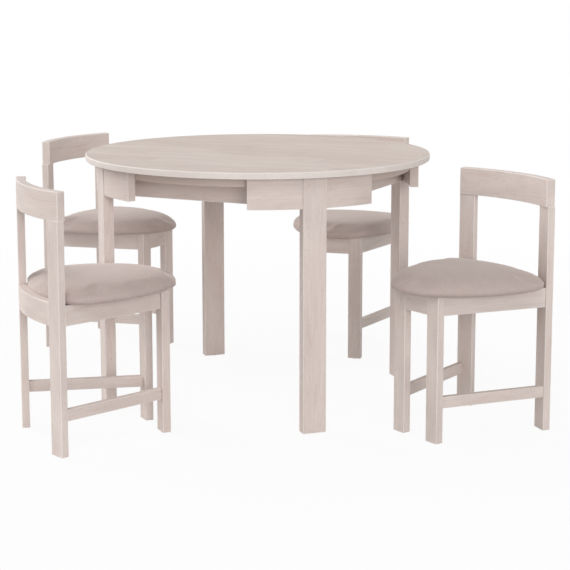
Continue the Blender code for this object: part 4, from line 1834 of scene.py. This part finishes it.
@dataclass(frozen=True)
class Lamp:
    """A soft, distant lamp, given by where it stands as seen from the object."""

    name: str
    bearing_deg: float
    height_deg: float
    strength: float
    spread_deg: float = 24.0

    def hang(self) -> None:
        """Put the lamp in the scene."""
        data = bpy.data.lights.new(self.name, "SUN")
        data.energy = self.strength
        data.angle = math.radians(self.spread_deg)
        lamp = object_of(self.name, data)
        turn, rise = math.radians(self.bearing_deg), math.radians(self.height_deg)
        way = Vector((math.cos(turn) * math.cos(rise), math.sin(turn) * math.cos(rise), math.sin(rise)))
        lamp.rotation_mode = "QUATERNION"
        lamp.rotation_quaternion = way.to_track_quat("Z", "Y")


@dataclass(frozen=True)
class Studio:
    """A pale floor, soft light from four sides and the camera at the photograph's angle.

    The camera's yaw, pitch and roll are in radians. The backdrop's share is how much of the white backdrop
    the camera sees in place of the lit floor, and the floor fades out between two shares of its radius.
    """

    distance: float = 4.5924
    eye_height: float = 1.2685
    yaw: float = 0.01804
    pitch: float = 0.14801
    roll: float = 0.000133
    focal_pixels: float = 1512.82
    shift_pixels: float = -80.0
    sensor_mm: float = 36.0
    lamps: tuple[Lamp, ...] = (
        Lamp("low_front_softbox", 285.0, 12.0, 1.07),
        Lamp("high_front_softbox", 260.0, 48.0, 0.55),
        Lamp("left_softbox", 170.0, 28.0, 0.57),
        Lamp("low_rear_left_softbox", 140.0, 12.0, 0.62),
        Lamp("rear_left_softbox", 140.0, 30.0, 0.88),
    )
    ambient: float = 0.515
    backdrop_share: float = 0.93
    floor_radius: float = 4.0
    floor_drop: float = 0.0002
    floor_fade: tuple[float, float] = (0.3, 0.8)
    floor_paint: str = "#E2E2E2"
    floor_speck: str = "#DEDEDE"
    speck: Pattern = Pattern((9.0, 9.0, 9.0))

    def camera(self, axis: Vector) -> None:
        """Set up the camera.

        Args:
            axis: The table's axis on the floor, which the camera's place is measured from.
        """
        data = bpy.data.cameras.new("photo_camera")
        camera = object_of("photo_camera", data)
        flat = math.cos(self.pitch)
        ahead = Vector((math.sin(self.yaw) * flat, math.cos(self.yaw) * flat, -math.sin(self.pitch)))
        turn = ahead.to_track_quat("-Z", "Y").to_matrix().to_4x4() @ Matrix.Rotation(-self.roll, 4, "Z")
        eye = Vector((axis.x, axis.y - self.distance, self.eye_height))
        camera.matrix_world = Matrix.Translation(eye) @ turn
        data.sensor_width = self.sensor_mm
        data.lens = self.focal_pixels / PHOTO_PIXELS * self.sensor_mm
        data.shift_y = self.shift_pixels / PHOTO_PIXELS
        bpy.context.scene.camera = camera

    def lights(self) -> None:
        """Soft lamps in an even white surround."""
        for lamp in self.lamps:
            lamp.hang()
        world = bpy.data.worlds.new("surround")
        bpy.context.scene.world = world
        world.use_nodes = True
        tree = world.node_tree
        tree.nodes.clear()
        lit, seen = (
            add(tree, "ShaderNodeBackground", named={"Color": linear(WHITE), "Strength": strength})[0]
            for strength in (self.ambient, 1.0)
        )
        shown = add(tree, "ShaderNodeMixShader", self.backdrop_rays(tree), lit, seen)[0]
        add(tree, "ShaderNodeOutputWorld", named={"Surface": shown})

    @staticmethod
    def backdrop_rays(tree: bpy.types.NodeTree) -> Any:
        """Tell the rays that should see the white backdrop.

        Args:
            tree: The tree that gets the nodes.

        Returns:
            A socket that is 1 for those rays.
        """
        path = add(tree, "ShaderNodeLightPath")
        gloss = add(tree, MATH, path["Is Glossy Ray"], path["Is Transmission Ray"], operation="MAXIMUM")[0]
        return add(tree, MATH, path["Is Camera Ray"], gloss, operation="MAXIMUM")[0]

    def floor(self) -> None:
        """A pale painted floor that keeps the object's shadow and fades into the backdrop."""
        made, tree, shader = new_material("matt_white_floor")
        tree.nodes.remove(shader)
        place = add(tree, "ShaderNodeTexCoord")["Object"]
        colour = layered(tree, self.floor_paint, [(self.speck.lumps(tree, place)[0], self.floor_speck)])
        paint = add(tree, "ShaderNodeBsdfDiffuse", named={"Color": colour})[0]
        white = add(tree, "ShaderNodeEmission", named={"Color": linear(WHITE), "Strength": 1.0})[0]
        rays = self.backdrop_rays(tree)
        share = add(tree, MATH, rays, self.backdrop_share, operation="MULTIPLY")[0]
        surface = add(tree, "ShaderNodeMixShader", share, paint, white)[0]
        reach = add(tree, VECTOR_MATH, place, operation="LENGTH")["Value"]
        near, far = (self.floor_radius * part for part in self.floor_fade)
        fade = add(tree, MAP_RANGE, reach, near, far, 0.0, 1.0)[0]
        fade = add(tree, MATH, fade, rays, operation="MULTIPLY")[0]
        clear = add(tree, "ShaderNodeBsdfTransparent")[0]
        output = next(node for node in tree.nodes if node.type == "OUTPUT_MATERIAL")
        plug(tree, output, {"Surface": add(tree, "ShaderNodeMixShader", fade, surface, clear)[0]})
        mesh = bpy.data.meshes.new("floor")
        rim = circle(self.floor_radius, 96)
        mesh.from_pydata([(point.x, point.y, -self.floor_drop) for point in rim], [], [list(range(len(rim)))])
        mesh.materials.append(made)
        object_of("floor", mesh)


def main() -> None:
    """Build the table, the chairs and the studio."""
    logging.basicConfig(level=logging.INFO, format="%(name)s: %(message)s")
    shop = Shop(Palette())
    table = Table(shop)
    studio = Studio()
    studio.camera(table.place.origin)
    table.build()
    chair = Chair(shop)
    pad = chair.pad.build()
    for prefix in CHAIRS:
        chair.build(prefix, pad)
    studio.lights()
    studio.floor()
    bpy.context.scene.view_settings.view_transform = "Standard"
    LOG.info("%d pieces", shop.made)


if __name__ == "__main__":
    main()
